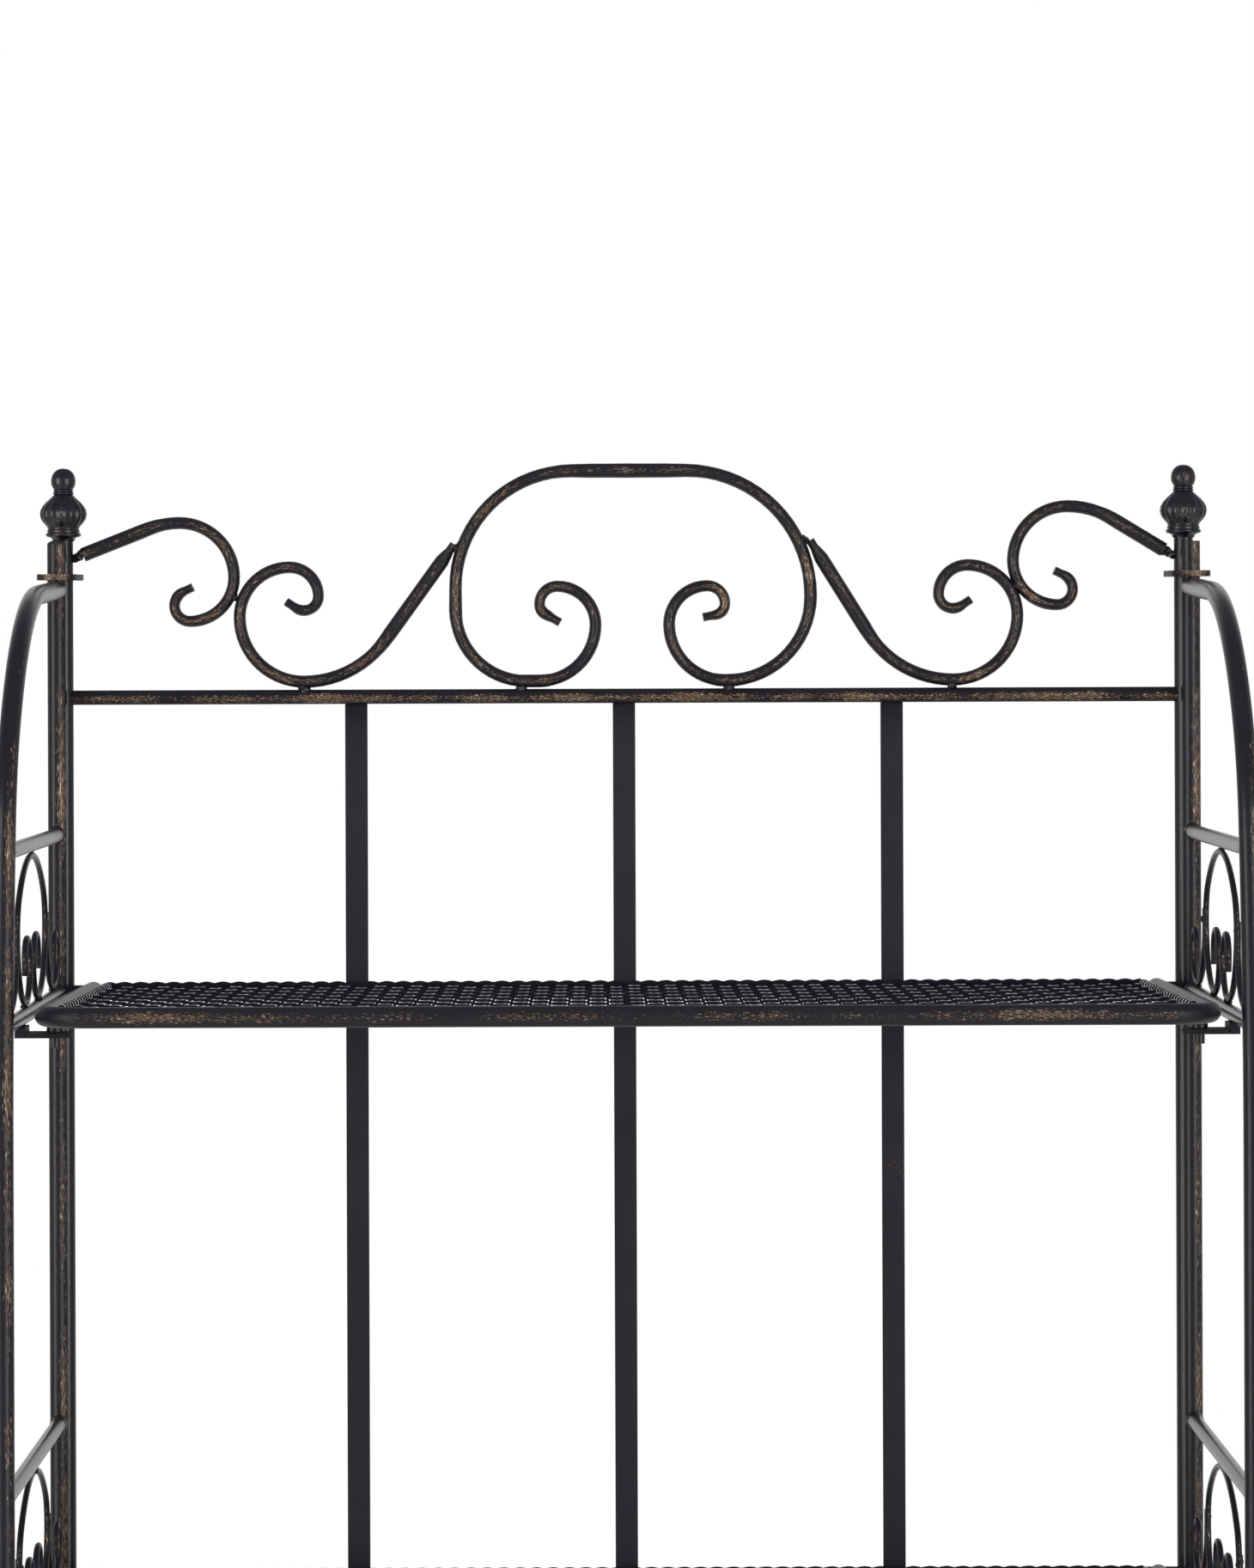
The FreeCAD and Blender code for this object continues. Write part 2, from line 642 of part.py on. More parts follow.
upper_bars = [side_bar(z + upper_bar_rise, bow, bow_core) for z in tiers]
lower_bars = [side_bar(z, bow, bow_core) for z in tiers]
tab_solids = [solid for z in tiers for solid in tabs(z)]
plates = [joint_plate(z) for z in (plate_z, lower_plate_z)]
for name, side in SIDES:
    save("back_post_" + name, back_post(side))
    save("finial_" + name, on_side(finial(), side))
    save("crest_s_scroll_" + name, on_side(s_scroll(side), side))
    save("crest_outer_scroll_" + name, on_side(outer_scroll(side), side))
    save("side_rear_tube_" + name, on_side(side_rear_tube(), side))
    save("bow_tube_" + name, on_side(bow_tube, side))
    save("joint_plates_" + name, *[on_side(plate, side) for plate in plates])
    save("side_upper_bars_" + name, *[on_side(bar, side) for bar in upper_bars])
    save("side_lower_bars_" + name, *[on_side(bar, side) for bar in lower_bars])
    save("shelf_tabs_" + name, *[on_side(tab, side) for tab in tab_solids])
save("tube_cap_left", on_side(tube_cap(), -1))
save("foot_plugs", *[foot_plug(side * x, y) for side in (-1, 1)
                     for x, y in ((post_x, post_y), (side_x, rear_y), (side_x, front_y))])

for number, z in enumerate(tiers, 1):
    save("back_rail_%d" % number, rail(z))
    arch = panel_arch(z)
    panel = [arch] + [panel_hook(z, arch, bow, sign) for sign in (-1, 1)]
    for name, side in SIDES:
        save("side_scrolls_%s_%d" % (name, number), *[on_side(piece, side) for piece in panel])
    frame_path = shelf_path(z)
    frame_core = raked(frame_path.sweep(post_r), z)
    save("shelf_frame_%d" % number, raked(frame_path.tube(post_d), z))
    save("shelf_edge_rod_%d" % number, raked(edge_rod(z), z))
    save("shelf_mesh_%d" % number, raked(deck(z), z))
    save("shelf_pins_%d" % number, *pins(z, frame_core))
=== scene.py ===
"""Bakers rack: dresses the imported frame. Metres, +Z up, front at -Y."""
import math
import random

import bmesh
import bpy
from mathutils import Matrix, Vector


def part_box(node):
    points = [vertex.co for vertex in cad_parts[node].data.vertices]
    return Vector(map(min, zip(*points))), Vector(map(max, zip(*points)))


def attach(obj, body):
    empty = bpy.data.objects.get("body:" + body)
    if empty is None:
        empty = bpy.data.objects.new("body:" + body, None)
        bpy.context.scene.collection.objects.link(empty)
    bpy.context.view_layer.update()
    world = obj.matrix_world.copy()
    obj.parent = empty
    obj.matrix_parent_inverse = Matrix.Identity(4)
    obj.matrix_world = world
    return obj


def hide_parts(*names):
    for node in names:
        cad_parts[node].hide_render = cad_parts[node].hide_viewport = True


bl_info = {
    "name": "Bakers Rack",
    "version": (1, 0, 0),
    "blender": (4, 5, 0),
    "location": "3D View > Sidebar > Rack",
    "description": "Builds and paints a scrolled bakers rack with mesh shelves",
    "category": "Add Mesh",
}

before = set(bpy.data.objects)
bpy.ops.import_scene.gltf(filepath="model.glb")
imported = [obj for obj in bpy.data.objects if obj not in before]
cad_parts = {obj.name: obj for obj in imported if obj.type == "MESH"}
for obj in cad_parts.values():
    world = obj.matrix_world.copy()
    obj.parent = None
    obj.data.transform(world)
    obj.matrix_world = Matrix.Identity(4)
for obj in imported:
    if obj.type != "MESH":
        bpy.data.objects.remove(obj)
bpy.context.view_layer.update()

MM = 0.001
UP = Vector((0, 0, 1))
TIERS = (1, 2, 3, 4)
SIDES = (("left", -1), ("right", 1))


# ---- places read from the frame ----
def middle(node):
    low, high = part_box(node)
    return (low + high) / 2


POST_X = middle("back_post_right").x
POST_Y = middle("back_post_right").y
POST_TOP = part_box("back_post_right")[1].z
SIDE_X = middle("side_rear_tube_right").x
REAR_Y = middle("side_rear_tube_right").y
SIDE_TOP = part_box("side_rear_tube_right")[1].z
TOP_Z = middle("top_rail").z
TIER_Z = {tier: middle("back_rail_%d" % tier).z for tier in TIERS}
FOOT_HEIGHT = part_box("back_post_right")[0].z

# ---- sizes of the steelwork ----
# A list of bends gives each a radius in millimetres, its turn and its step in degrees.
SIDE_DEPTH = 320 * MM  # side frame, rear tube to front tube
BOW_RISE = 72.7 * MM  # bow tube's upper end above the top rail
BOW_FALL = 2.2  # degrees, slope of its first straight run
BOW_RUN = 115.6 * MM
BOW_BENDS = ((206, -51, 3), (148, -26, 3), (1080, -10.8, 1))
BOW_FOOT_R = BOW_BENDS[-1][0] * MM  # last, slow arc into the upright
BOW_FOOT_DROP = 277.5 * MM  # that arc's lower end below the top rail
BAR_SHORT = 2 * MM  # a side bar ends this far short of the uprights' axes
PLATE_LOBE_R = 13.5 * MM
PLATE_THICKNESS = 4 * MM

# Crest, in millimetres. It is bent by hand, so its two halves differ a little.
CREST_HEIGHT = 152.8  # arch's centre-line above the top rail's
RAIL_SEAT = 10.3  # height of the centre-line of a tube that lies on the rail
RAIL_WELD = 5.3  # height of the weld under it
ARCH_OFFSET = 2  # the arch stands this far to the right
ARCH_FOOT = 68  # where its leg comes down on the rail
ARCH_CURL = ((38.2, -90, 7), (26, -90, 8), (12, -90, 12))
ARCH_HOOK_R = 8
ARCHES = {
    "left": {"flat": 37.1, "leg": 15.5, "foot_run": 8.7, "hook_turn": 60, "hook_run": 11.5},
    "right": {"flat": 40.3, "leg": 1, "foot_run": 1, "hook_turn": 80, "hook_run": 8.5},
}
SCROLL_FOOT_R = 67.9  # S-scroll's arc down to the rail
SCROLL_COIL = ((43.8, 90, 6), (33.9, 90, 6), (19.6, 90, 9), (9.8, 123.7, 12))
SCROLL_TIP = 8  # length of its two tips, which have close rings
SCROLLS = {
    "left": {"slope": 54.1, "run": 80, "foot": 216.8},
    "right": {"slope": 58.1, "run": 74, "foot": 223.4},
}
WING_START = 366.5  # outer scroll's arm, just short of the post
WING_TOP = 301.2  # its highest point
WING_ARM_R = 58.7
WING_COIL = ((36.9, 90, 6), (29.9, 90, 7), (10.6, 154.7, 12))
WING_TIP = 7.2
WINGS = {"left": {"rise": 118.3, "slope": 21.5}, "right": {"rise": 127.6, "slope": 31.3}}
TIP_STEP = 2 * MM  # rings of a pressed tip lie this close

# Finial: radius and height of its turned profile, in millimetres above the post.
FINIAL_PROFILE = (
    (6.3, 0), (7.4, 0), (7.6, 1.2), (8.6, 2.4), (11.6, 3.4), (12.1, 4.4), (11.8, 5.4),
    (10.9, 5.9), (10.9, 6.5), (11.2, 7.2), (10.7, 8.0), (10.5, 8.8), (11.6, 10.4),
    (13.6, 12.6), (15.3, 15.2), (16.0, 18.2), (15.6, 21.2), (14.0, 24.2), (11.5, 27.0),
    (8.8, 29.4), (7.2, 31.0), (6.4, 31.6), (7.1, 32.1), (7.2, 32.8), (6.3, 33.3),
    (6.9, 33.9), (6.8, 34.5), (6.2, 34.9), (7.2, 36.3), (8.2, 38.6), (8.4, 41.2),
    (7.9, 44.2), (6.6, 46.7), (4.6, 48.5), (2.2, 49.4), (0, 49.6))
FINIAL_HEIGHT = FINIAL_PROFILE[-1][1] * MM
BULB_LOW, BULB_HIGH = 9, 30  # its lobed bulb, in millimetres above the post
BULB_GROOVES = 14
BULB_GROOVE_DEPTH = 0.09  # share of the bulb's radius

# Side panels.
PANEL_MIDDLE = 160 * MM  # forward of the rear tube
PANEL_SEAT = 7.3 * MM  # a wire's centre-line from the bar's that it touches
PANEL_HALF = 80 * MM  # half of the arch's width
PANEL_FOOT = 34 * MM  # where a leg of the arch touches the bar, from its middle
PANEL_CROWN = 40  # degrees of flat crown on each side of the arch's top
PANEL_CURL = ((24.5, -90, 10), (16.5, -90, 12), (12.5, -98, 14))
PANEL_TIP = 9 * MM
HOOK_BESIDE = 4.3 * MM  # small scroll's centre-line outside the arch's
HOOK_START = 52 * MM  # its upper end beside the arch's leg, above the leg's foot
HOOK_CLEAR = 19.8 * MM  # centre of its top bend from the upright's axis
HOOK_COIL = ((24, 90, 10), (11, 90, 14), (9, 90, 15))
HOOK_SIDE_R = HOOK_COIL[0][0] * MM  # also the height where it meets the upright
HOOK_TOP_R = HOOK_COIL[1][0] * MM
HOOK_TIP = 12 * MM
WIRE_WELD = 2.2 * MM  # centre of a wire's weld beside its centre-line
WIRE_WELD_SIZE = 5 * MM

# Shelves and the tabs that carry them.
SHELF_X = 360 * MM  # side tubes and pins, from the middle
FRONT_Y = REAR_Y - SIDE_DEPTH  # front uprights and the shelves' front tubes
SHELF_BACK = POST_Y - 7 * MM  # back end of the side tubes
SHELF_CORNER_R = 30 * MM
SHELF_RISE = 7 * MM  # shelf tube's axis above the tier's rail, at the front
SHELF_RAKE = math.radians(1)  # falling to the back
WELD_GAP = 0.3 * MM
EDGE_ROD_R = 3 * MM  # room for the mesh wrapped round the edge rod
ROPE_R = 2.6 * MM
ROPE_RISE = 3.5 * MM  # above the shelf tube's axis
ROPE_TURN_R = 3 * MM
ROPE_STEP = 1.6 * MM
DECK_RISE = 2.7 * MM
DECK_THICKNESS = 0.7 * MM
PIN_R = 3.5 * MM
COLLAR_R = 5.5 * MM  # collar round a pin, between tab and shelf tube
COLLAR_DROP = 7.9 * MM  # its lower face below the tier's rail
TAB_DROP = 8.2 * MM  # tab's upper face below the tier's rail
TAB_PLACES = (60 * MM, 233 * MM)  # pins, forward of the side frame's rear tube
TAB_THICKNESS = 3 * MM
TAB_HALF = 11 * MM  # half of its width, and its nose's radius
TAB_END_X = 378 * MM
WEB_X = 381 * MM  # middle of the tab's bent-up end, under the side bar
WEB_SIZE = 7 * MM
WEB_RISE = 0.5 * MM

# Plugs: radius and height in millimetres.
PLUG_PROFILE = ((0, 0), (5.6, 0), (6.5, 0.4), (7, 1.4), (7, 5.4), (6.6, 6), (0, 6))
CAP_PROFILE = ((0, 0), (6.5, 0), (6.3, 0.9), (5, 2), (3, 2.7), (0, 3))


# ---- settings ----
def linear(code):
    """A linear colour from an sRGB hex code."""
    parts = [int(code[place:place + 2], 16) / 255 for place in (1, 3, 5)]
    return tuple(part / 12.92 if part <= 0.04045 else ((part + 0.055) / 1.055) ** 2.4
                 for part in parts)


def length(label, about, millimetres):
    return bpy.props.FloatProperty(name=label, description=about, default=millimetres * MM,
                                   min=0, unit="LENGTH", subtype="DISTANCE", precision=5)


def colour(label, about, code):
    return bpy.props.FloatVectorProperty(name=label, description=about, default=linear(code),
                                         min=0, max=1, size=3, subtype="COLOR")


def factor(label, about, value, high=1):
    return bpy.props.FloatProperty(name=label, description=about, default=value, min=0,
                                   max=high, subtype="FACTOR")


def power(label, about, watts):
    return bpy.props.FloatProperty(name=label, description=about, default=watts, min=0,
                                   unit="POWER")


class RackSizes(bpy.types.PropertyGroup):
    tube: length("Tube", "Diameter of the posts, side frames and shelf frames", 13)
    rail: length("Rail", "Diameter of the rails, bars and crest scrolls", 10)
    wire: length("Wire", "Diameter of the side panels' wire", 4)
    mesh_across: length("Mesh Across", "Width of one opening of the mesh", 12.2)
    mesh_deep: length("Mesh Deep", "Distance between the openings of one column", 42)
    strand: length("Strand", "Width of a mesh strand", 1.8)
    strand_lift: length("Strand Lift", "Rise of a tilted bar above and below the sheet", 1.1)
    rib_pitch: length("Rib Pitch", "Distance between the wraps round the shelf's edge", 11.1)


class RackFinish(bpy.types.PropertyGroup):
    paint: colour("Paint", "Black paint of the tubes", "#16151b")
    slat_paint: colour("Slat Paint", "Paint of the slats", "#27252a")
    bronze: colour("Bronze", "Bronze brushed over the paint", "#5b4636")
    glint: colour("Glint", "Bright flecks in the bronze", "#b7a794")
    # Colour of the painted highlight on the mesh's raised edges and on the wraps of its edge.
    sheared: colour("Sheared", "Bare edges of the mesh's strands", "#adabad")
    plastic: colour("Plastic", "Plugs and cap", "#1b1b1d")
    brushed: factor("Brushed", "How much bronze is brushed on", 0.5)


class RackStudio(bpy.types.PropertyGroup):
    surround: factor("Surround", "Strength of the even light around the rack", 0.5, 4)
    overhead: power("Overhead", "Power of the top light", 52)
    front: power("Front", "Power of each front light", 42)
    floor: colour("Floor", "Colour of the floor", "#f4f4f4")


# ---- materials ----
def connect(node, inputs):
    """Gives a node's sockets their values and links. A link is another node's output, or the
    node itself for its first output."""
    for socket, value in inputs.items():
        if isinstance(value, bpy.types.Node):
            value = value.outputs[0]
        if isinstance(value, bpy.types.NodeSocket):
            node.id_data.links.new(value, node.inputs[socket])
        else:
            node.inputs[socket].default_value = value


def add(tree, kind, inputs=None, **settings):
    """Adds one node with its settings, values and links."""
    made = tree.nodes.new(kind)
    for name, value in settings.items():
        setattr(made, name, value)
    connect(made, inputs or {})
    return made


def per(millimetres):
    """Scale of a noise whose grains are about this many millimetres."""
    return 1 / (millimetres * MM)


def shade(tint, share=1.0):
    """A colour for a socket, darker or lighter by a share."""
    return (*(part * share for part in tint), 1)


def new_material(name):
    material = bpy.data.materials.new(name)
    material.use_nodes = True
    return material, material.node_tree, material.node_tree.nodes["Principled BSDF"]


def dry_brushed(name, coat="paint", on_tube=True, amount=1.0, rough=0.34, streak=2,
                grain=0.9, patch=38, brush=(0, -1, 0), wrap=0.45, specular=0.16):
    """Black baked paint with bronze dry-brushed over it. The brush comes from one side, given
    by brush: its flecks lie on the faces turned that way, thick where it lingered. Real
    flecks are about half of grain, in millimetres; they are drawn coarser so that they show."""
    finish = bpy.context.scene.rack_finish
    paint = getattr(finish, coat)
    material, tree, shader = new_material(name)
    if on_tube:
        place = add(tree, "ShaderNodeAttribute", attribute_name="tube_space").outputs["Vector"]
    else:
        place = add(tree, "ShaderNodeTexCoord").outputs["Object"]
    drawn = add(tree, "ShaderNodeMapping",
                {"Vector": place, "Scale": (1, 1, 1 / streak)})
    flecks = add(tree, "ShaderNodeTexNoise",
                 {"Vector": drawn, "Scale": per(grain), "Detail": 3, "Roughness": 0.65})
    patches = add(tree, "ShaderNodeTexNoise",
                  {"Vector": place, "Scale": per(patch), "Detail": 2, "Roughness": 0.55})
    normal = add(tree, "ShaderNodeNewGeometry").outputs["Normal"]
    turned_to = add(tree, "ShaderNodeVectorMath",
                    {0: normal, 1: Vector(brush).normalized()}, operation="DOT_PRODUCT")
    reached = add(tree, "ShaderNodeMapRange",
                  {"Value": turned_to.outputs["Value"], "From Min": wrap, "To Max": 0.4})
    lingered = add(tree, "ShaderNodeMath",
                   {0: patches.outputs["Fac"], 1: 0.9, 2: reached},
                   operation="MULTIPLY_ADD")
    laid = add(tree, "ShaderNodeMath", {0: flecks.outputs["Fac"], 1: lingered})
    # Bronze starts where flecks, patches and reach together pass this, the lower the more.
    start = 1.52 - 0.2 * amount * finish.brushed
    bronze = add(tree, "ShaderNodeMapRange",
                 {"Value": laid, "From Min": start, "From Max": start + 0.12})
    glints = add(tree, "ShaderNodeTexNoise",
                 {"Vector": drawn, "Scale": per(grain * 0.8), "Detail": 2})
    bright = add(tree, "ShaderNodeMapRange",
                 {"Value": glints.outputs["Fac"], "From Min": 0.52, "From Max": 0.72})
    metal = add(tree, "ShaderNodeMix",
                {0: bright, 6: shade(finish.bronze), 7: shade(finish.glint)},
                data_type="RGBA")
    cloud = add(tree, "ShaderNodeTexNoise", {"Vector": place, "Scale": per(60), "Detail": 3})
    painted = add(tree, "ShaderNodeMix",
                  {0: cloud.outputs["Fac"], 6: shade(paint, 0.75), 7: shade(paint, 1.25)},
                  data_type="RGBA")
    base = add(tree, "ShaderNodeMix",
               {0: bronze, 6: painted.outputs[2], 7: metal.outputs[2]},
               data_type="RGBA")
    # Metal flakes in a clear binder: half as metallic as bare bronze.
    sheen = add(tree, "ShaderNodeMath", {0: bronze, 1: 0.5}, operation="MULTIPLY")
    height = add(tree, "ShaderNodeMath",
                 {0: bronze, 1: 0.5, 2: flecks.outputs["Fac"]},
                 operation="MULTIPLY_ADD")
    bump = add(tree, "ShaderNodeBump",
               {"Height": height, "Strength": 0.4, "Distance": 0.3 * MM})
    connect(shader, {"Base Color": base.outputs[2], "Metallic": sheen, "Normal": bump,
                     "Roughness": rough, "Specular IOR Level": specular})
    return material


def steel_with_painted_highlight(name, highlight_strength):
    """Expanded steel under thin black paint: dull, with a painted highlight, pale, along the
    sheared upper edges of its bars; the material itself reflects nothing."""
    finish = bpy.context.scene.rack_finish
    material, tree, shader = new_material(name)
    place = add(tree, "ShaderNodeTexCoord").outputs["Object"]
    # Painted highlight: pale colour laid where the attribute marks raised edges, broken into
    # patches by this noise.
    highlight_weight = add(tree, "ShaderNodeTexNoise", {"Vector": place, "Scale": per(9), "Detail": 3})
    height = add(tree, "ShaderNodeAttribute", attribute_name="sheared").outputs["Fac"]
    wall = add(tree, "ShaderNodeMapRange", {"Value": height, "From Min": 0.45, "From Max": 0.9})
    highlight_level = add(tree, "ShaderNodeMapRange",
               {"Value": highlight_weight.outputs["Fac"], "From Min": 0.3, "From Max": 0.65,
                "To Min": 0.35 * highlight_strength, "To Max": highlight_strength})
    edge = add(tree, "ShaderNodeMath", {0: wall, 1: highlight_level},
               operation="MULTIPLY")
    base = add(tree, "ShaderNodeMix",
               {0: edge, 6: shade(finish.paint), 7: shade(finish.sheared)},
               data_type="RGBA")
    connect(shader, {"Base Color": base.outputs[2], "Roughness": 0.55,
                     "Specular IOR Level": 0})
    return material


def moulded_plastic(name):
    """Black polypropylene, moulded: dull, with a spark-eroded grain. The real grain is about
    0.1 mm; it is drawn at 0.6 mm so that it shows."""
    plastic = bpy.context.scene.rack_finish.plastic
    material, tree, shader = new_material(name)
    place = add(tree, "ShaderNodeTexCoord").outputs["Object"]
    grain = add(tree, "ShaderNodeTexNoise", {"Vector": place, "Scale": per(0.6), "Detail": 2})
    tint = add(tree, "ShaderNodeMix",
               {0: grain.outputs["Fac"], 6: shade(plastic, 0.8), 7: shade(plastic, 1.25)},
               data_type="RGBA")
    bump = add(tree, "ShaderNodeBump",
               {"Height": grain.outputs["Fac"], "Strength": 0.3, "Distance": 0.1 * MM})
    connect(shader, {"Base Color": tint.outputs[2], "Roughness": 0.55, "Normal": bump})
    return material


RECIPES = {
    # Drawn tube under baked paint: long clean highlights and hardly a fleck of bronze.
    "painted steel tube": (dry_brushed, {
        "amount": 0.2, "streak": 4, "patch": 90, "rough": 0.26, "specular": 0.4}),
    # The same tube brushed from the front and right: long thin strokes on a glossy black.
    "painted frame tube": (dry_brushed, {
        "amount": 1.9, "streak": 6, "patch": 110, "rough": 0.27, "specular": 0.32,
        "brush": (0.7, -1, 0), "wrap": 0.55}),
    # Duller paint on the shelves' tubes: soft highlights under loose patches of bronze.
    "painted shelf tube": (dry_brushed, {
        "amount": 1.4, "streak": 3, "patch": 110, "rough": 0.42, "specular": 0.25}),
    # Rail brushed from the front and below: the most bronze, black along its top.
    "painted steel rail": (dry_brushed, {
        "amount": 2.6, "streak": 2.5, "patch": 50, "brush": (0, -1, -0.3), "wrap": 0.5}),
    # Bent tube of the crest: bronze strokes that follow its bends, with black between them.
    "painted crest tube": (dry_brushed, {
        "amount": 1.9, "streak": 4, "patch": 45, "rough": 0.3, "specular": 0.3}),
    # Thin wire, brushed with the frames: short bronze strokes on its front.
    "painted wire": (dry_brushed, {"amount": 1.8, "streak": 3, "patch": 50}),
    # Flat bar, painted and not brushed: an even, dull dark grey.
    "painted steel bar": (dry_brushed, {
        "coat": "slat_paint", "on_tube": False, "amount": -1.6, "patch": 120, "rough": 0.55,
        "specular": 0.08}),
    # Cast iron under thick paint: wet-looking highlights, bronze on its high places.
    "painted cast iron": (dry_brushed, {
        "on_tube": False, "amount": 0.9, "streak": 1, "patch": 14, "rough": 0.13,
        "specular": 0.5}),
    # Punched plate: bronze all round its cut edge.
    "painted plate": (dry_brushed, {
        "on_tube": False, "amount": 2.4, "streak": 1, "patch": 20, "wrap": 0.1}),
    # Weld metal under paint: small round blobs with bright highlights.
    "painted weld": (dry_brushed, {
        "on_tube": False, "amount": 0.8, "streak": 1, "patch": 12, "rough": 0.22,
        "specular": 0.5}),
    # Expanded mesh: dull black, with a painted highlight along the raised edges of its bars.
    "painted expanded steel": (steel_with_painted_highlight, {"highlight_strength": 0.9}),
    # The same sheet wrapped round a rod, with a painted highlight on its wraps.
    "painted wrapped edge": (steel_with_painted_highlight, {"highlight_strength": 1.2}),
    "moulded black plastic": (moulded_plastic, {}),
}


def finish_named(name):
    """The material of that name, made the first time that it is asked for."""
    made = bpy.data.materials.get(name)
    if made is None:
        maker, settings = RECIPES[name]
        made = maker(name, **settings)
    return made


# ---- shaping ----
def verts_in(parts):
    return [part for part in parts if isinstance(part, bmesh.types.BMVert)]


def edges_among(verts):
    inside = set(verts)
    return list({edge for vert in verts for edge in vert.link_edges
                 if edge.other_vert(vert) in inside})


class Tube:
    """A tube on the bender, in the plane of u and v through origin: a run extrudes its open
    ring and a turn spins it. Each vertex keeps its place in the tube's own space, two ways
    across and along, so that the finish follows the bends."""

    TIGHT_BEND = 9 * MM  # a bend of this radius is thinned by THINNING
    THINNING = 0.25
    BLEND = 9 * MM  # thinning spreads this far beyond a bend
    TIP_THICKNESS = 0.6  # share of its width that a pressed tip keeps
    TIP_REACH = 15 * MM  # and how far back it is pressed
    LIP = 0.72  # width of a closed end's flat middle

    def __init__(self, mesh, origin, u, v, start, heading, radius, sides=16):
        self.mesh, self.origin, self.u_axis, self.v_axis = mesh, origin, u, v
        self.normal = u.cross(v)
        self.u, self.v = start
        self.heading = math.radians(heading)
        self.travelled = 0
        self.flat = 1
        self.rings = []
        turned = Matrix((self.left(), self.normal, self.ahead())).transposed().to_4x4()
        made = bmesh.ops.create_circle(mesh, segments=sides, radius=radius,
                                       matrix=Matrix.Translation(self.centre()) @ turned)
        self.keep(made["verts"])

    def centre(self):
        return self.origin + self.u_axis * self.u + self.v_axis * self.v

    def ahead(self):
        return self.u_axis * math.cos(self.heading) + self.v_axis * math.sin(self.heading)

    def left(self):
        return self.v_axis * math.cos(self.heading) - self.u_axis * math.sin(self.heading)

    def keep(self, verts):
        self.verts = verts
        self.edges = edges_among(verts)
        self.rings.append((verts, self.centre(), self.left(), self.travelled, self.flat))

    def run(self, distance, step=12 * MM):
        count = max(1, round(distance / step))
        self.flat = self.thinned(0)
        for _ in range(count):
            made = bmesh.ops.extrude_edge_only(self.mesh, edges=self.edges)["geom"]
            verts = verts_in(made)
            bmesh.ops.translate(self.mesh, verts=verts, vec=self.ahead() * distance / count)
            self.u += distance / count * math.cos(self.heading)
            self.v += distance / count * math.sin(self.heading)
            self.travelled += distance / count
            self.keep(verts)
        return self

    def turn(self, radius, degrees, step=7):
        count = max(1, round(abs(degrees) / step))
        angle = math.radians(degrees) / count
        side = math.copysign(radius, degrees)
        self.flat = self.thinned(1 / radius)
        for _ in range(count):
            pivot = self.centre() + self.left() * side
            made = bmesh.ops.spin(self.mesh, geom=self.verts + self.edges, cent=pivot,
                                  axis=self.normal, angle=angle, steps=1)["geom_last"]
            self.u -= side * math.sin(self.heading)
            self.v += side * math.cos(self.heading)
            self.heading += angle
            self.u += side * math.sin(self.heading)
            self.v -= side * math.cos(self.heading)
            self.travelled += radius * abs(angle)
            self.keep(verts_in(made))
        return self

    def bends(self, *turns):
        """Turns after one another, each a radius in millimetres, its degrees and its step."""
        for radius, degrees, step in turns:
            self.turn(radius * MM, degrees, step)
        return self

    def done(self, closed=(0, -1), pressed=None):
        """Writes the tube's space, flattens it where pressed is given, and closes its ends.
        An end is its first ring (0) or its last (-1)."""
        self.write_space()
        if pressed:
            self.flatten(pressed)
        self.close(closed)

    def thinned(self, curvature):
        """A thin-walled tube's thickness in the plane of its bend, as a share of its width."""
        return 0.98 - self.THINNING * (self.TIGHT_BEND * curvature) ** 0.35

    def write_space(self):
        space = self.mesh.verts.layers.float_vector["tube_space"]
        for verts, centre, left, along, _ in self.rings:
            for vert in verts:
                reach = vert.co - centre
                vert[space] = (reach.dot(left), reach.dot(self.normal), along)

    def flatten(self, tips):
        """Thins the tube in its bends, a little widened there, and presses its tips."""
        for verts, centre, left, along, _ in self.rings:
            near = [ring[4] for ring in self.rings if abs(ring[3] - along) <= self.BLEND]
            flat = sum(near) / len(near)
            for tip in tips:
                away = abs(along - self.rings[tip][3]) / self.TIP_REACH
                if away < 1:
                    flat += (self.TIP_THICKNESS - flat) * min(1, 1.6 * (1 - away)) ** 1.5
            wide = 1 + (1 - flat) * 0.5
            for vert in verts:
                out = vert.co - centre
                vert.co = (centre + left * out.dot(left) * flat
                           + self.normal * out.dot(self.normal) * wide)

    def close(self, ends):
        """Fills rings with slightly rounded ends."""
        for end in ends:
            verts, centre = self.rings[end][:2]
            made = bmesh.ops.extrude_edge_only(self.mesh, edges=edges_among(verts))["geom"]
            bmesh.ops.scale(self.mesh, verts=verts_in(made), vec=(self.LIP,) * 3,
                            space=Matrix.Translation(-centre))
            rim = [part for part in made if isinstance(part, bmesh.types.BMEdge)]
            bmesh.ops.edgeloop_fill(self.mesh, edges=rim)


def new_mesh():
    mesh = bmesh.new()
    mesh.verts.layers.float_vector.new("tube_space")
    return mesh


def piece(name, mesh, material, nodes, body="rack", crease=38):
    """Turns a bmesh into a finished piece that stands for CAD nodes and rides on a body."""
    bmesh.ops.remove_doubles(mesh, verts=mesh.verts, dist=0.01 * MM)
    bmesh.ops.recalc_face_normals(mesh, faces=mesh.faces)
    for face in mesh.faces:
        face.smooth = True
    data = bpy.data.meshes.new(name)
    mesh.to_mesh(data)
    mesh.free()
    data.set_sharp_from_angle(angle=math.radians(crease))
    data.materials.append(finish_named(material))
    made = bpy.data.objects.new(name, data)
    bpy.context.scene.collection.objects.link(made)
    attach(made, body)
    if nodes:
        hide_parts(*nodes)


def straight(mesh, start, end, radius, sides=16):
    """A straight tube with both ends closed."""
    along = (end - start).normalized()
    across = along.orthogonal().normalized()
    tube = Tube(mesh, start, along, across, (0, 0), 0, radius, sides)
    tube.run((end - start).length, 40 * MM).done()


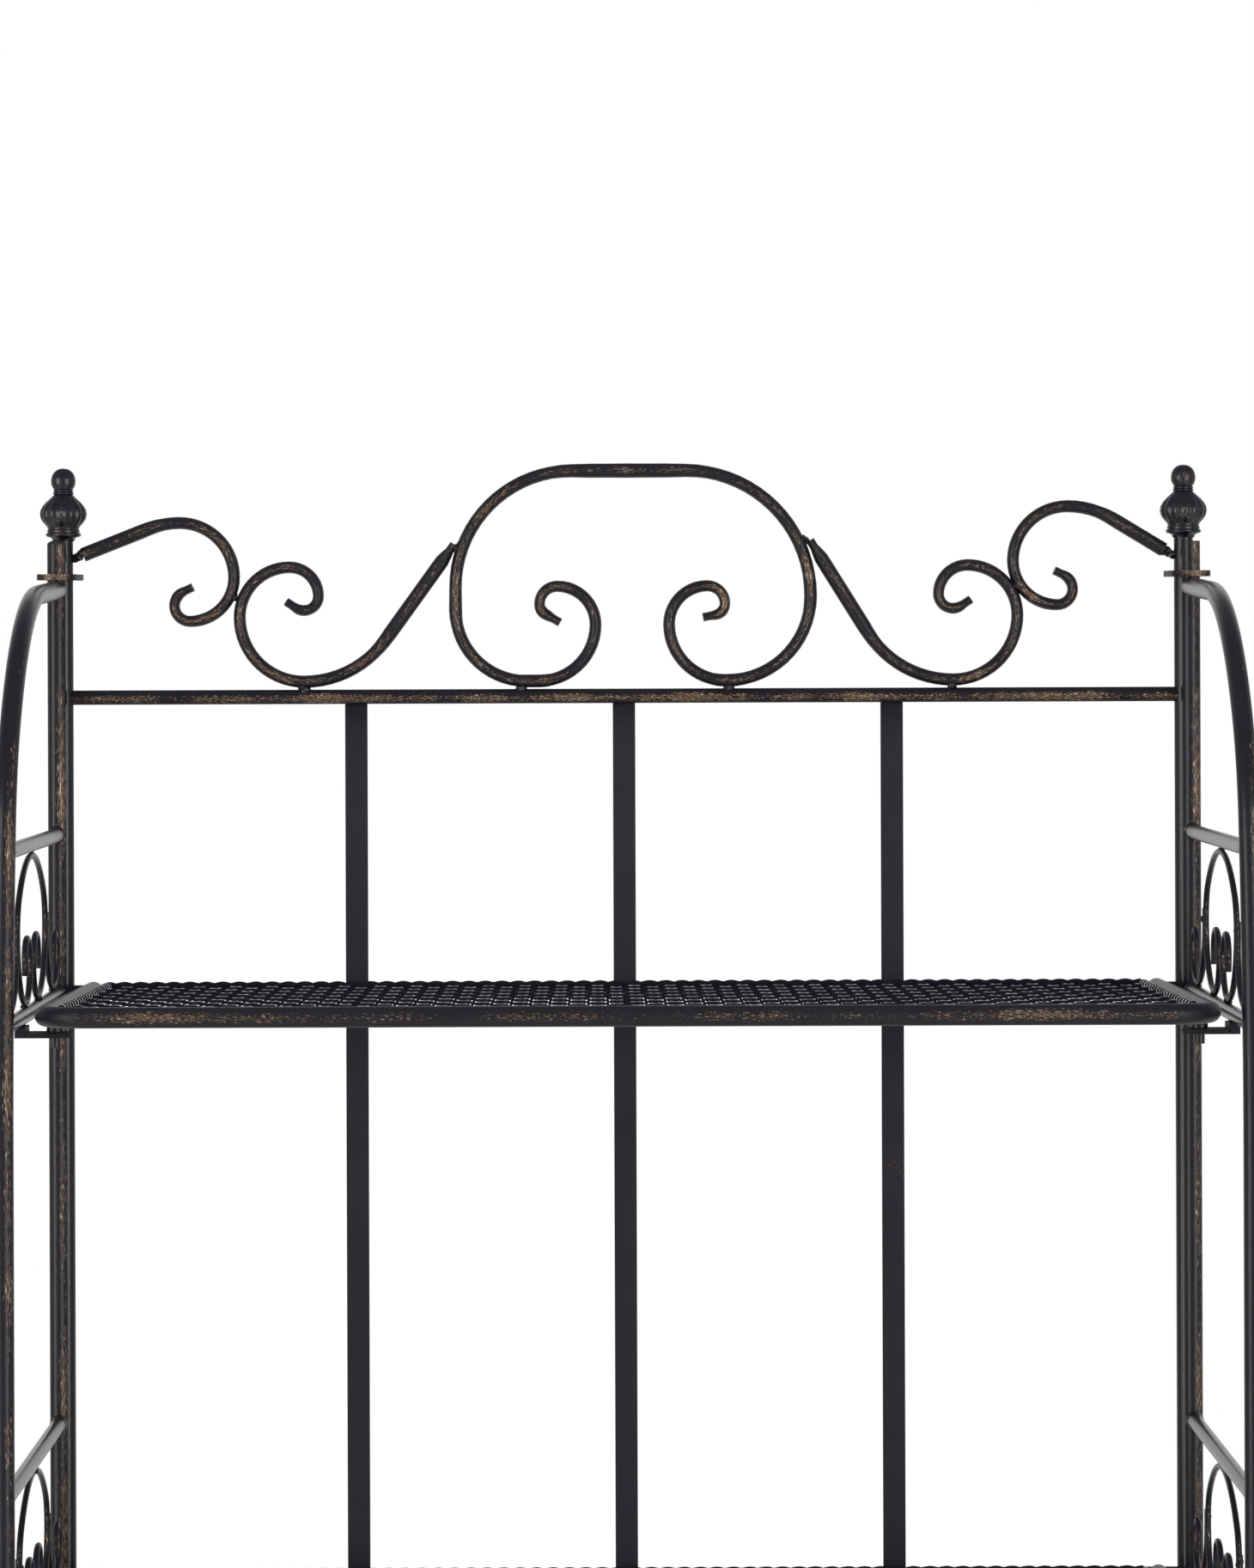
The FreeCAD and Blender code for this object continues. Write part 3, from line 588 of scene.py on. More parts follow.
def spun(mesh, axis, profile, steps):
    """Spins a profile of radius and height, in millimetres, round an upright axis."""
    chain = [mesh.verts.new(axis + Vector((radius * MM, 0, height * MM)))
             for radius, height in profile]
    edges = [mesh.edges.new(pair) for pair in zip(chain, chain[1:])]
    bmesh.ops.spin(mesh, geom=chain + edges, cent=axis, axis=UP, angle=math.tau,
                   steps=steps, use_merge=True)


def thicken(mesh, faces, thickness):
    """Raises a plate from its lower faces."""
    raised = bmesh.ops.extrude_face_region(mesh, geom=faces)["geom"]
    bmesh.ops.translate(mesh, verts=verts_in(raised), vec=UP * thickness)


def weld(mesh, centre, size, seed, blobs=3):
    """A short weld: a few blobs run together, each a little uneven."""
    chance = random.Random(seed)
    for _ in range(blobs):
        shift = Vector([chance.uniform(-0.3, 0.3) * size for _ in range(3)])
        made = bmesh.ops.create_icosphere(mesh, subdivisions=2, radius=size * 0.42,
                                          matrix=Matrix.Translation(centre + shift))
        for vert in made["verts"]:
            reach = vert.co - centre - shift
            vert.co += reach * chance.uniform(-0.12, 0.12)


def collar(mesh, centre, along, radius, seed, bead=1.1 * MM):
    """The uneven bead where a bar's end is welded round to a tube."""
    chance = random.Random(seed)
    turned = along.to_track_quat("Z", "Y").to_matrix().to_4x4()
    place = Matrix.Translation(centre) @ turned
    ring = bmesh.ops.create_circle(mesh, segments=8, radius=bead,
                                   matrix=place @ Matrix.Translation((radius, 0, 0))
                                   @ Matrix.Rotation(math.pi / 2, 4, "X"))["verts"]
    before = set(mesh.verts) - set(ring)
    bmesh.ops.spin(mesh, geom=ring + edges_among(ring), cent=centre, axis=along,
                   angle=math.tau, steps=20, use_merge=True)
    for vert in mesh.verts:
        if vert not in before:
            vert.co += (vert.co - centre) * chance.uniform(-0.04, 0.04)


# ---- planes that tubes are bent in ----
def back_plane(side):
    """Origin and axes of the back panel's plane, drawn outwards on one side."""
    return Vector((0, POST_Y, TOP_Z)), Vector((side, 0, 0)), UP


def side_plane(side, forward_from=0.0, facing=1):
    """Plane of a side frame: u runs forward from a place in front of the rear tube."""
    origin = Vector((side * SIDE_X, REAR_Y - forward_from, 0))
    return origin, Vector((0, -facing, 0)), UP


def level_plane(height):
    return Vector((0, 0, height)), Vector((1, 0, 0)), Vector((0, 1, 0))


def front_tube(height):
    """The front tube's place, forward of the rear tube, and its lean at a height: its upper
    part follows the bow's last slow arc."""
    above = max(0, height - TOP_Z + BOW_FOOT_DROP)
    lean = math.asin(above / BOW_FOOT_R)
    return SIDE_DEPTH - BOW_FOOT_R * (1 - math.cos(lean)), lean


# ---- pieces ----
class RACK_OT_posts(bpy.types.Operator):
    """The two back posts"""
    bl_idname = "rack.posts"
    bl_label = "Back Posts"

    def execute(self, context):
        radius = context.scene.rack_sizes.tube / 2
        for name, side in SIDES:
            mesh = new_mesh()
            straight(mesh, Vector((side * POST_X, POST_Y, FOOT_HEIGHT)),
                     Vector((side * POST_X, POST_Y, POST_TOP)), radius, 24)
            piece("back_post_tube_" + name, mesh, "painted steel tube",
                  ["back_post_" + name])
        return {"FINISHED"}


class RACK_OT_finials(bpy.types.Operator):
    """Cast finials: ball, ringed neck, lobed bulb, waist and flared skirt"""
    bl_idname = "rack.finials"
    bl_label = "Finials"

    def execute(self, context):
        rise = (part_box("finial_right")[1].z - POST_TOP) / FINIAL_HEIGHT
        profile = [(radius, height * rise) for radius, height in FINIAL_PROFILE]
        for name, side in SIDES:
            mesh = new_mesh()
            axis = Vector((side * POST_X, POST_Y, POST_TOP))
            spun(mesh, axis, profile, 96)
            self.groove(mesh, axis, rise)
            hem = [edge for edge in mesh.edges if edge.is_boundary]
            bmesh.ops.edgeloop_fill(mesh, edges=hem)
            piece("finial_casting_" + name, mesh, "painted cast iron",
                  ["finial_" + name], crease=60)
        return {"FINISHED"}

    @staticmethod
    def groove(mesh, axis, rise):
        """Presses upright grooves into the bulb, deepest at its middle, so that lobes stay."""
        for vert in mesh.verts:
            reach = vert.co - axis
            height = reach.z / (rise * MM)
            if BULB_LOW < height < BULB_HIGH:
                share = (height - BULB_LOW) / (BULB_HIGH - BULB_LOW)
                swell = math.sin(math.pi * share) ** 0.8
                angle = math.atan2(reach.y, reach.x)
                lobe = abs(math.sin(BULB_GROOVES / 2 * angle)) ** 0.7
                grow = 1 + BULB_GROOVE_DEPTH * swell * (lobe - 1)
                vert.co.x = axis.x + reach.x * grow
                vert.co.y = axis.y + reach.y * grow


class RACK_OT_rails(bpy.types.Operator):
    """Top rail, back rails and slats"""
    bl_idname = "rack.rails"
    bl_label = "Rails And Slats"

    def execute(self, context):
        sizes = context.scene.rack_sizes
        reach = Vector((POST_X - sizes.tube / 4, 0, 0))
        rails = [("top_rail", TOP_Z)] + [("back_rail_%d" % t, TIER_Z[t]) for t in TIERS]
        for node, height in rails:
            centre = Vector((0, POST_Y, height))
            mesh = new_mesh()
            straight(mesh, centre - reach, centre + reach, sizes.rail / 2, 20)
            piece(node + "_tube", mesh, "painted steel rail", [node])
        for name in ("left", "centre", "right"):
            node = "slat_" + name
            low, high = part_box(node)
            mesh = new_mesh()
            place = Matrix.Translation((low + high) / 2) @ Matrix.Diagonal((*(high - low), 1))
            bmesh.ops.create_cube(mesh, size=1, matrix=place)
            bmesh.ops.bevel(mesh, geom=list(mesh.edges), offset=0.5 * MM, segments=2,
                            profile=0.5, affect="EDGES", material=-1)
            piece(node + "_strip", mesh, "painted steel bar", [node])
        return {"FINISHED"}


class RACK_OT_crest(bpy.types.Operator):
    """Crest: the arch, the two S-scrolls and the two outer scrolls, with their welds"""
    bl_idname = "rack.crest"
    bl_label = "Crest"

    def execute(self, context):
        radius = context.scene.rack_sizes.rail / 2
        arch = new_mesh()
        welds = new_mesh()
        for name, side in SIDES:
            plane = back_plane(side)
            offset = side * ARCH_OFFSET
            self.arch(arch, plane, radius, offset, **ARCHES[name])
            arch_seat = ARCH_FOOT + offset + ARCHES[name]["foot_run"] / 2
            # Across and up from the rail's middle, and size.
            spots = [(arch_seat, RAIL_WELD, 7.5), (SCROLLS[name]["foot"], RAIL_WELD, 7.5)]

            mesh = new_mesh()
            across, up = self.s_scroll(mesh, plane, radius, **SCROLLS[name])
            spots.append((across - 3, up - 1, 7))
            piece("crest_s_tube_" + name, mesh, "painted crest tube",
                  ["crest_s_scroll_" + name])

            mesh = new_mesh()
            across, up = self.wing(mesh, plane, radius, **WINGS[name])
            spots += [(across + 1, up, 6.5), (across + 4.5, up - 1.5, 7.5),
                      (264.5, 70.5 + side * 2.5, 6)]
            piece("crest_outer_tube_" + name, mesh, "painted crest tube",
                  ["crest_outer_scroll_" + name])
            for number, (across, up, size) in enumerate(spots):
                place = Vector((side * across * MM, POST_Y - 0.8 * MM, TOP_Z + up * MM))
                weld(welds, place, size * MM, number + 10 * side)
        piece("crest_arch_tube", arch, "painted crest tube", ["crest_arch"])
        piece("crest_welds", welds, "painted weld", [])
        return {"FINISHED"}

    @staticmethod
    def arch(mesh, plane, radius, offset, flat, leg, foot_run, hook_turn, hook_run):
        """Half of the arch, from its middle over the shoulder and down to the inner curl."""
        drop = CREST_HEIGHT - RAIL_SEAT - leg
        spread = ARCH_FOOT - flat
        tube = Tube(mesh, *plane, (offset * MM, CREST_HEIGHT * MM), 0, radius)
        tube.run(flat * MM).turn((drop + spread) / 2 * MM, -90, 5).run(leg * MM)
        tube.turn((drop - spread) / 2 * MM, -90, 6).run(foot_run * MM)
        tube.bends(*ARCH_CURL, (ARCH_HOOK_R, -hook_turn, 15)).run(hook_run * MM, TIP_STEP)
        tube.done(closed=(-1,), pressed=(-1,))

    @staticmethod
    def s_scroll(mesh, plane, radius, slope, run, foot):
        """One S-scroll. Returns where it starts, beside the arch."""
        fall = math.radians(slope)
        across = foot - SCROLL_FOOT_R * math.sin(fall) - run * math.cos(fall)
        up = RAIL_SEAT + SCROLL_FOOT_R * (1 - math.cos(fall)) + run * math.sin(fall)
        tube = Tube(mesh, *plane, (across * MM, up * MM), -slope, radius)
        tube.run(SCROLL_TIP * MM, TIP_STEP).run((run - SCROLL_TIP) * MM, 6 * MM)
        tube.bends((SCROLL_FOOT_R, slope, 5), *SCROLL_COIL).run(SCROLL_TIP * MM, TIP_STEP)
        tube.done(pressed=(0, -1))
        return across, up

    @staticmethod
    def wing(mesh, plane, radius, rise, slope):
        """One outer scroll. Returns where its arm starts, just short of the post."""
        fall = math.radians(slope)
        run = (WING_START - WING_TOP - WING_ARM_R * math.sin(fall)) / math.cos(fall)
        up = rise - WING_ARM_R * (1 - math.cos(fall)) - run * math.sin(fall)
        tube = Tube(mesh, *plane, (WING_START * MM, up * MM), 180 - slope, radius)
        tube.run(run * MM, TIP_STEP)
        tube.bends((WING_ARM_R, slope, 5), *WING_COIL).run(WING_TIP * MM, TIP_STEP)
        tube.done(pressed=(-1,))
        return WING_START, up


class RACK_OT_side_frames(bpy.types.Operator):
    """Side frames: rear tubes, bow tubes, bars and joint plates"""
    bl_idname = "rack.side_frames"
    bl_label = "Side Frames"

    def execute(self, context):
        sizes = context.scene.rack_sizes
        radius = sizes.tube / 2
        welds = new_mesh()
        for name, side in SIDES:
            at_rear = Vector((side * SIDE_X, REAR_Y, 0))
            mesh = new_mesh()
            straight(mesh, at_rear + UP * FOOT_HEIGHT, at_rear + UP * SIDE_TOP, radius, 24)
            piece("side_rear_pipe_" + name, mesh, "painted frame tube",
                  ["side_rear_tube_" + name])

            mesh = new_mesh()
            tube = Tube(mesh, *side_plane(side), (0, TOP_Z + BOW_RISE), -BOW_FALL, radius, 24)
            tube.run(BOW_RUN).bends(*BOW_BENDS)
            tube.run(tube.v - FOOT_HEIGHT, 40 * MM).done()
            piece("bow_pipe_" + name, mesh, "painted frame tube",
                  ["bow_tube_" + name])

            for kind in ("upper", "lower"):
                self.bars(kind, name, side, sizes, welds)
            self.joint_plates(name, side)
        piece("side_frame_welds", welds, "painted weld", [])
        return {"FINISHED"}

    @staticmethod
    def bars(kind, name, side, sizes, welds):
        """The upper or lower bars of one side, and the welds at their ends."""
        mesh = new_mesh()
        node = "side_%s_bars_%s" % (kind, name)
        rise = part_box(node)[0].z + sizes.rail / 2 - TIER_Z[1]
        at_face = sizes.tube / 2 - 1 * MM
        for tier in TIERS:
            height = TIER_Z[tier] + rise
            start = Vector((side * SIDE_X, REAR_Y - BAR_SHORT, height))
            end = Vector((start.x, REAR_Y - front_tube(height)[0] + BAR_SHORT, height))
            straight(mesh, start, end, sizes.rail / 2, 20)
            for y in (start.y - at_face, end.y + at_face):
                collar(welds, Vector((start.x, y, height)), Vector((0, 1, 0)),
                       sizes.rail / 2, tier * 10 + side)
        piece("side_%s_tubes_%s" % (kind, name), mesh, "painted frame tube",
              [node])

    @staticmethod
    def joint_plates(name, side):
        """The two plates that hold a side frame to its post: a hull round two discs each."""
        mesh = new_mesh()
        low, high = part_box("joint_plates_" + name)
        for height in (low.z, high.z - PLATE_THICKNESS):
            for x, y in ((side * POST_X, POST_Y), (side * SIDE_X, REAR_Y)):
                bmesh.ops.create_circle(mesh, segments=40, radius=PLATE_LOBE_R,
                                        matrix=Matrix.Translation((x, y, height)))
            fresh = [vert for vert in mesh.verts if not vert.link_faces]
            hull = bmesh.ops.convex_hull(mesh, input=fresh)
            spare = set(verts_in(hull["geom_interior"] + hull["geom_unused"]))
            bmesh.ops.delete(mesh, geom=list(spare), context="VERTS")
        flat = bmesh.ops.dissolve_limit(mesh, angle_limit=0.01, verts=mesh.verts,
                                        edges=mesh.edges)["region"]
        thicken(mesh, [part for part in flat if isinstance(part, bmesh.types.BMFace)],
                PLATE_THICKNESS)
        piece("joint_plate_pair_" + name, mesh, "painted plate",
              ["joint_plates_" + name])


class RACK_OT_side_scrolls(bpy.types.Operator):
    """Wire arch and small scrolls between each pair of side bars"""
    bl_idname = "rack.side_scrolls"
    bl_label = "Side Scrolls"

    def execute(self, context):
        radius = context.scene.rack_sizes.wire / 2
        bar_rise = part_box("side_upper_bars_left")[0].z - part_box("side_lower_bars_left")[0].z
        for name, side in SIDES:
            for tier in TIERS:
                low = TIER_Z[tier] + PANEL_SEAT
                high = TIER_Z[tier] + bar_rise - PANEL_SEAT
                mesh = new_mesh()
                welds = []
                for facing in (-1, 1):
                    plane = side_plane(side, PANEL_MIDDLE, facing)
                    self.half_arch(mesh, plane, low, high, radius)
                    welds += self.small_scroll(mesh, plane, low, radius, facing)
                welds.append(Vector((side * SIDE_X, REAR_Y - PANEL_MIDDLE, high + WIRE_WELD)))
                for number, place in enumerate(welds):
                    weld(mesh, place, WIRE_WELD_SIZE, number + 20 * tier + 100 * side, 2)
                piece("side_wires_%s_%d" % (name, tier), mesh, "painted wire",
                      ["side_scrolls_%s_%d" % (name, tier)])
        return {"FINISHED"}

    @staticmethod
    def half_arch(mesh, plane, low, high, radius):
        """Half of the wire arch: flat crown, shoulder and a leg that curls up at its foot.
        The radii of crown and shoulder follow from the arch's width and height."""
        leg_r = PANEL_HALF - PANEL_FOOT
        drop = high - low - leg_r
        crown = math.radians(PANEL_CROWN)
        sine, cosine = math.sin(crown), math.cos(crown)
        shoulder_r = ((drop * sine - PANEL_HALF * (1 - cosine))
                      / (sine * cosine - (1 - sine) * (1 - cosine)))
        crown_r = (PANEL_HALF - shoulder_r * (1 - sine)) / sine
        tube = Tube(mesh, *plane, (0, high), 0, radius, 10)
        tube.turn(crown_r, -PANEL_CROWN, 6).turn(shoulder_r, PANEL_CROWN - 90)
        tube.turn(leg_r, -90).bends(*PANEL_CURL).run(PANEL_TIP)
        tube.done(closed=(-1,))

    @staticmethod
    def small_scroll(mesh, plane, low, radius, facing):
        """The scroll between the arch's leg and an upright. Returns the places of the welds
        of this half: arch's foot, scroll's foot, upright, and the scroll's upper end."""
        upright, lean = PANEL_MIDDLE, 0
        if facing > 0:
            place, lean = front_tube(low + HOOK_SIDE_R)
            upright = place - PANEL_MIDDLE
        start = PANEL_HALF + HOOK_BESIDE
        outer = upright + HOOK_TOP_R - HOOK_CLEAR / math.cos(lean)
        swing = outer - start - HOOK_SIDE_R
        tube = Tube(mesh, *plane, (start, low + HOOK_START), -90, radius, 10)
        tube.run(HOOK_START - swing).turn(swing, 90).bends(*HOOK_COIL).run(HOOK_TIP)
        tube.done()
        spots = ((PANEL_FOOT, -WIRE_WELD), (start + swing, -WIRE_WELD),
                 (outer + WIRE_WELD, HOOK_SIDE_R), (start - 2 * MM, HOOK_START - 6 * MM))
        origin, outwards, upwards = plane
        return [origin + outwards * across + upwards * (low + up) for across, up in spots]


def expanded_sheet(sizes, inner, front, back, height):
    """Expanded mesh: long openings side by side, every second column half a length further
    on. The bar that ends an opening is tilted, its far edge up, with a slight dip in it."""
    mesh = new_mesh()
    sheared = mesh.verts.layers.float.new("sheared")
    across, deep = sizes.mesh_across, sizes.mesh_deep / 2
    columns = 2 * math.ceil(inner / across)
    rows = 2 * math.ceil((back - front) / deep / 2) + 2
    low_x, low_y = -columns / 2 * across, (front + back) / 2 - rows / 2 * deep
    scale = Matrix.Translation((0, (front + back) / 2, height)) @ Matrix.Diagonal(
        (columns * across, rows * deep, 1, 1))
    bmesh.ops.create_grid(mesh, x_segments=columns, y_segments=rows, size=0.5, matrix=scale)
    bars, spare = [], []
    for edge in mesh.edges:
        middle_x, middle_y, _ = (edge.verts[0].co + edge.verts[1].co) / 2
        column, row = (middle_x - low_x) / across, (middle_y - low_y) / deep
        if abs(column % 1 - 0.5) < 0.1 and not edge.is_boundary:
            kept = (int(column) + round(row)) % 2
            (bars if kept else spare).append(edge)
    bmesh.ops.dissolve_edges(mesh, edges=spare)
    bmesh.ops.bisect_edges(mesh, edges=bars, cuts=3)
    cells = list(mesh.faces)
    bmesh.ops.inset_individual(mesh, faces=cells, thickness=sizes.strand / 2,
                               use_even_offset=True)
    for vert in mesh.verts:
        along = (vert.co.x - low_x) / across % 1
        if 0.2 < along < 0.8:
            past = (vert.co.y - low_y + deep / 2) % deep - deep / 2
            tilt = 2 * past / sizes.strand * (0.75 if abs(along - 0.5) < 0.1 else 1)
            vert.co.z += sizes.strand_lift * tilt
            # The raised far edge gets the painted highlight, more the higher it stands.
            vert[sheared] = max(0, tilt)
    bmesh.ops.delete(mesh, geom=cells, context="FACES_ONLY")
    trims = [((inner, 0, 0), (1, 0, 0)), ((-inner, 0, 0), (-1, 0, 0)),
             ((0, front, 0), (0, -1, 0)), ((0, back, 0), (0, 1, 0))]
    nick = SHELF_CORNER_R - sizes.tube / 2
    for side in (-1, 1):
        trims.append(((side * (inner - nick / 2), front + nick / 2, 0), (side, -1, 0)))
    for place, outwards in trims:
        bmesh.ops.bisect_plane(mesh, geom=list(mesh.verts) + list(mesh.edges)
                               + list(mesh.faces), plane_co=place, plane_no=outwards,
                               clear_outer=True)
    bmesh.ops.recalc_face_normals(mesh, faces=mesh.faces)
    bmesh.ops.solidify(mesh, geom=list(mesh.faces), thickness=DECK_THICKNESS)
    return mesh


class RACK_OT_shelves(bpy.types.Operator):
    """Lift-off shelves: bent frame, wrapped edge, expanded mesh and pins"""
    bl_idname = "rack.shelves"
    bl_label = "Shelves"

    def execute(self, context):
        sizes = context.scene.rack_sizes
        edge = SHELF_X - sizes.tube / 2 - WELD_GAP - EDGE_ROD_R
        rope_back = SHELF_BACK - EDGE_ROD_R
        for tier in TIERS:
            body = "shelf_%d" % tier
            height = TIER_Z[tier] + SHELF_RISE

            mesh = self.bent_frame(height, sizes.tube / 2)
            self.rake(mesh, height)
            piece("shelf_tube_%d" % tier, mesh, "painted shelf tube",
                  ["shelf_frame_%d" % tier], body)

            mesh = self.rope(height + ROPE_RISE, edge, rope_back, sizes.rib_pitch)
            self.rake(mesh, height)
            piece("shelf_rope_edge_%d" % tier, mesh, "painted wrapped edge",
                  ["shelf_edge_rod_%d" % tier], body, crease=60)

            tuck = EDGE_ROD_R * 0.6
            mesh = expanded_sheet(sizes, edge - tuck, FRONT_Y + sizes.tube / 2 * 0.8,
                                  rope_back - tuck, height + DECK_RISE)
            self.rake(mesh, height)
            piece("shelf_expanded_mesh_%d" % tier, mesh, "painted expanded steel",
                  ["shelf_mesh_%d" % tier], body, crease=50)

            mesh = self.pins(tier, height - sizes.tube / 2)
            piece("shelf_peg_set_%d" % tier, mesh, "painted steel tube",
                  ["shelf_pins_%d" % tier], body)
        return {"FINISHED"}

    @staticmethod
    def rake(mesh, height):
        """Tilts a piece round the front tube, to the shelf's fall."""
        bmesh.ops.rotate(mesh, verts=mesh.verts, cent=Vector((0, FRONT_Y, height)),
                         matrix=Matrix.Rotation(-SHELF_RAKE, 3, "X"))

    @staticmethod
    def bent_frame(height, radius):
        """The tube round the shelf's left side, front and right side."""
        mesh = new_mesh()
        side_run = SHELF_BACK - FRONT_Y - SHELF_CORNER_R
        step = 30 * MM
        tube = Tube(mesh, *level_plane(height), (-SHELF_X, SHELF_BACK), -90, radius, 24)
        tube.run(side_run, step).turn(SHELF_CORNER_R, 90, 6)
        tube.run(2 * (SHELF_X - SHELF_CORNER_R), step).turn(SHELF_CORNER_R, 90, 6)
        tube.run(side_run, step).done()
        return mesh

    @staticmethod
    def rope(height, edge, back, rib_pitch):
        """The mesh's wrapped edge along the left side, back and right side. Its ribs slant, are
        wider apart at the sides, and carry a painted highlight along their crests."""
        mesh = new_mesh()
        sheared = mesh.verts.layers.float.new("sheared")
        start = FRONT_Y + SHELF_CORNER_R
        side_run = back - start - ROPE_TURN_R
        tube = Tube(mesh, *level_plane(height), (-edge, start), 90, ROPE_R, 10)
        tube.run(side_run, ROPE_STEP).turn(ROPE_TURN_R, -90, 30)
        tube.run(2 * (edge - ROPE_TURN_R), ROPE_STEP).turn(ROPE_TURN_R, -90, 30)
        tube.run(side_run, ROPE_STEP)
        tube.write_space()
        for verts, centre, left, along, _ in tube.rings:
            at_side = abs(left.x) > 0.7
            # The ribs' painted highlight is full at the sides and weaker along the back, whose
            # whole front faces forward.
            pitch, highlight_weight = (rib_pitch * 1.3, 1) if at_side else (rib_pitch, 0.4)
            for vert in verts:
                out = vert.co - centre
                slant = abs(out.dot(left)) * 0.9
                wave = abs(math.sin(math.pi * (along + slant) / pitch))
                vert.co = centre + out * (0.66 + 0.48 * wave ** 0.8)
                vert[sheared] = wave ** 4 * highlight_weight
        tube.close((0, -1))
        return mesh

    @staticmethod
    def pins(tier, under_tube):
        """Four pins that drop into the tabs, each with a collar up to the shelf's tube."""
        mesh = new_mesh()
        low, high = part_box("shelf_pins_%d" % tier)
        shoulder = TIER_Z[tier] - COLLAR_DROP
        for side in (-1, 1):
            for y in (low.y + COLLAR_R, high.y - COLLAR_R):
                top = under_tube - math.sin(SHELF_RAKE) * (y - FRONT_Y) + 1 * MM
                for radius, start, end in ((COLLAR_R, shoulder, top),
                                           (PIN_R, low.z, shoulder + 0.5 * MM)):
                    straight(mesh, Vector((side * SHELF_X, y, start)),
                             Vector((side * SHELF_X, y, end)), radius)
        return mesh


class RACK_OT_tabs(bpy.types.Operator):
    """Tabs under the side bars that carry the shelves"""
    bl_idname = "rack.tabs"
    bl_label = "Shelf Tabs"

    def execute(self, context):
        for name, side in SIDES:
            mesh = new_mesh()
            for tier in TIERS:
                for forward in TAB_PLACES:
                    self.tab(mesh, side, REAR_Y - forward, TIER_Z[tier] - TAB_DROP)
            piece("shelf_tab_straps_" + name, mesh, "painted steel bar",
                  ["shelf_tabs_" + name])
        return {"FINISHED"}

    @staticmethod
    def tab(mesh, side, y, top):
        """A flat strap with a round nose, bent up at its outer end to meet the bar."""
        place = Matrix.Translation((side * SHELF_X, y, top - TAB_THICKNESS))
        disc = bmesh.ops.create_circle(mesh, segments=24, radius=TAB_HALF, cap_ends=True,
                                       matrix=place)["verts"]
        for vert in disc:
            if side * vert.co.x > SHELF_X + 0.2 * MM:
                vert.co.x = side * TAB_END_X
                vert.co.y = y + math.copysign(TAB_HALF, vert.co.y - y)
        thicken(mesh, list({face for vert in disc for face in vert.link_faces}),
                TAB_THICKNESS)
        web = Matrix.Translation((side * WEB_X, y, top + WEB_RISE))
        bmesh.ops.create_cube(mesh, size=1, matrix=web @ Matrix.Diagonal(
            (WEB_SIZE, 2 * TAB_HALF, WEB_SIZE, 1)))


class RACK_OT_feet(bpy.types.Operator):
    """Foot plugs and the domed cap of the left rear tube"""
    bl_idname = "rack.feet"
    bl_label = "Plugs"

    def execute(self, context):
        mesh = new_mesh()
        for side in (-1, 1):
            for x, y in ((POST_X, POST_Y), (SIDE_X, REAR_Y), (SIDE_X, FRONT_Y)):
                spun(mesh, Vector((side * x, y, 0)), PLUG_PROFILE, 32)
        piece("foot_plug_set", mesh, "moulded black plastic",
              ["foot_plugs"])
        mesh = new_mesh()
        spun(mesh, Vector((-SIDE_X, REAR_Y, SIDE_TOP)), CAP_PROFILE, 32)
        piece("tube_cap_dome", mesh, "moulded black plastic",
              ["tube_cap_left"])
        return {"FINISHED"}


# ---- stage ----
# Name, place, target, width, height and the setting of its power.
LAMPS = (("overhead", (0, -0.5, 3.4), (0, 0, 0.9), 2.4, 1.6, "overhead"),
         ("front_left", (-2.6, -2.1, 1.5), (0, 0, 1.2), 1.3, 2.4, "front"),
         ("front_right", (2.0, -2.7, 1.5), (0, 0, 1.2), 1.3, 2.4, "front"))
FLOOR_HALF = 2.1
BACKDROP_FROM = 0.85  # the white backdrop fills directions further back than this

# Camera: focal length and shift in pixels of a frame whose long side is FRAME_SIDE.
FRAME_SIDE = 1825
FOCAL = 5853
SHIFT_RIGHT, SHIFT_UP = 36, -154.5
SENSOR = 36  # millimetres
CAMERA_X = -18.8 * MM
CAMERA_BACK = 3.412  # in front of the back posts
CAMERA_RISE = 30.3 * MM  # above the top rail
CAMERA_ROLL = 0.2  # degrees


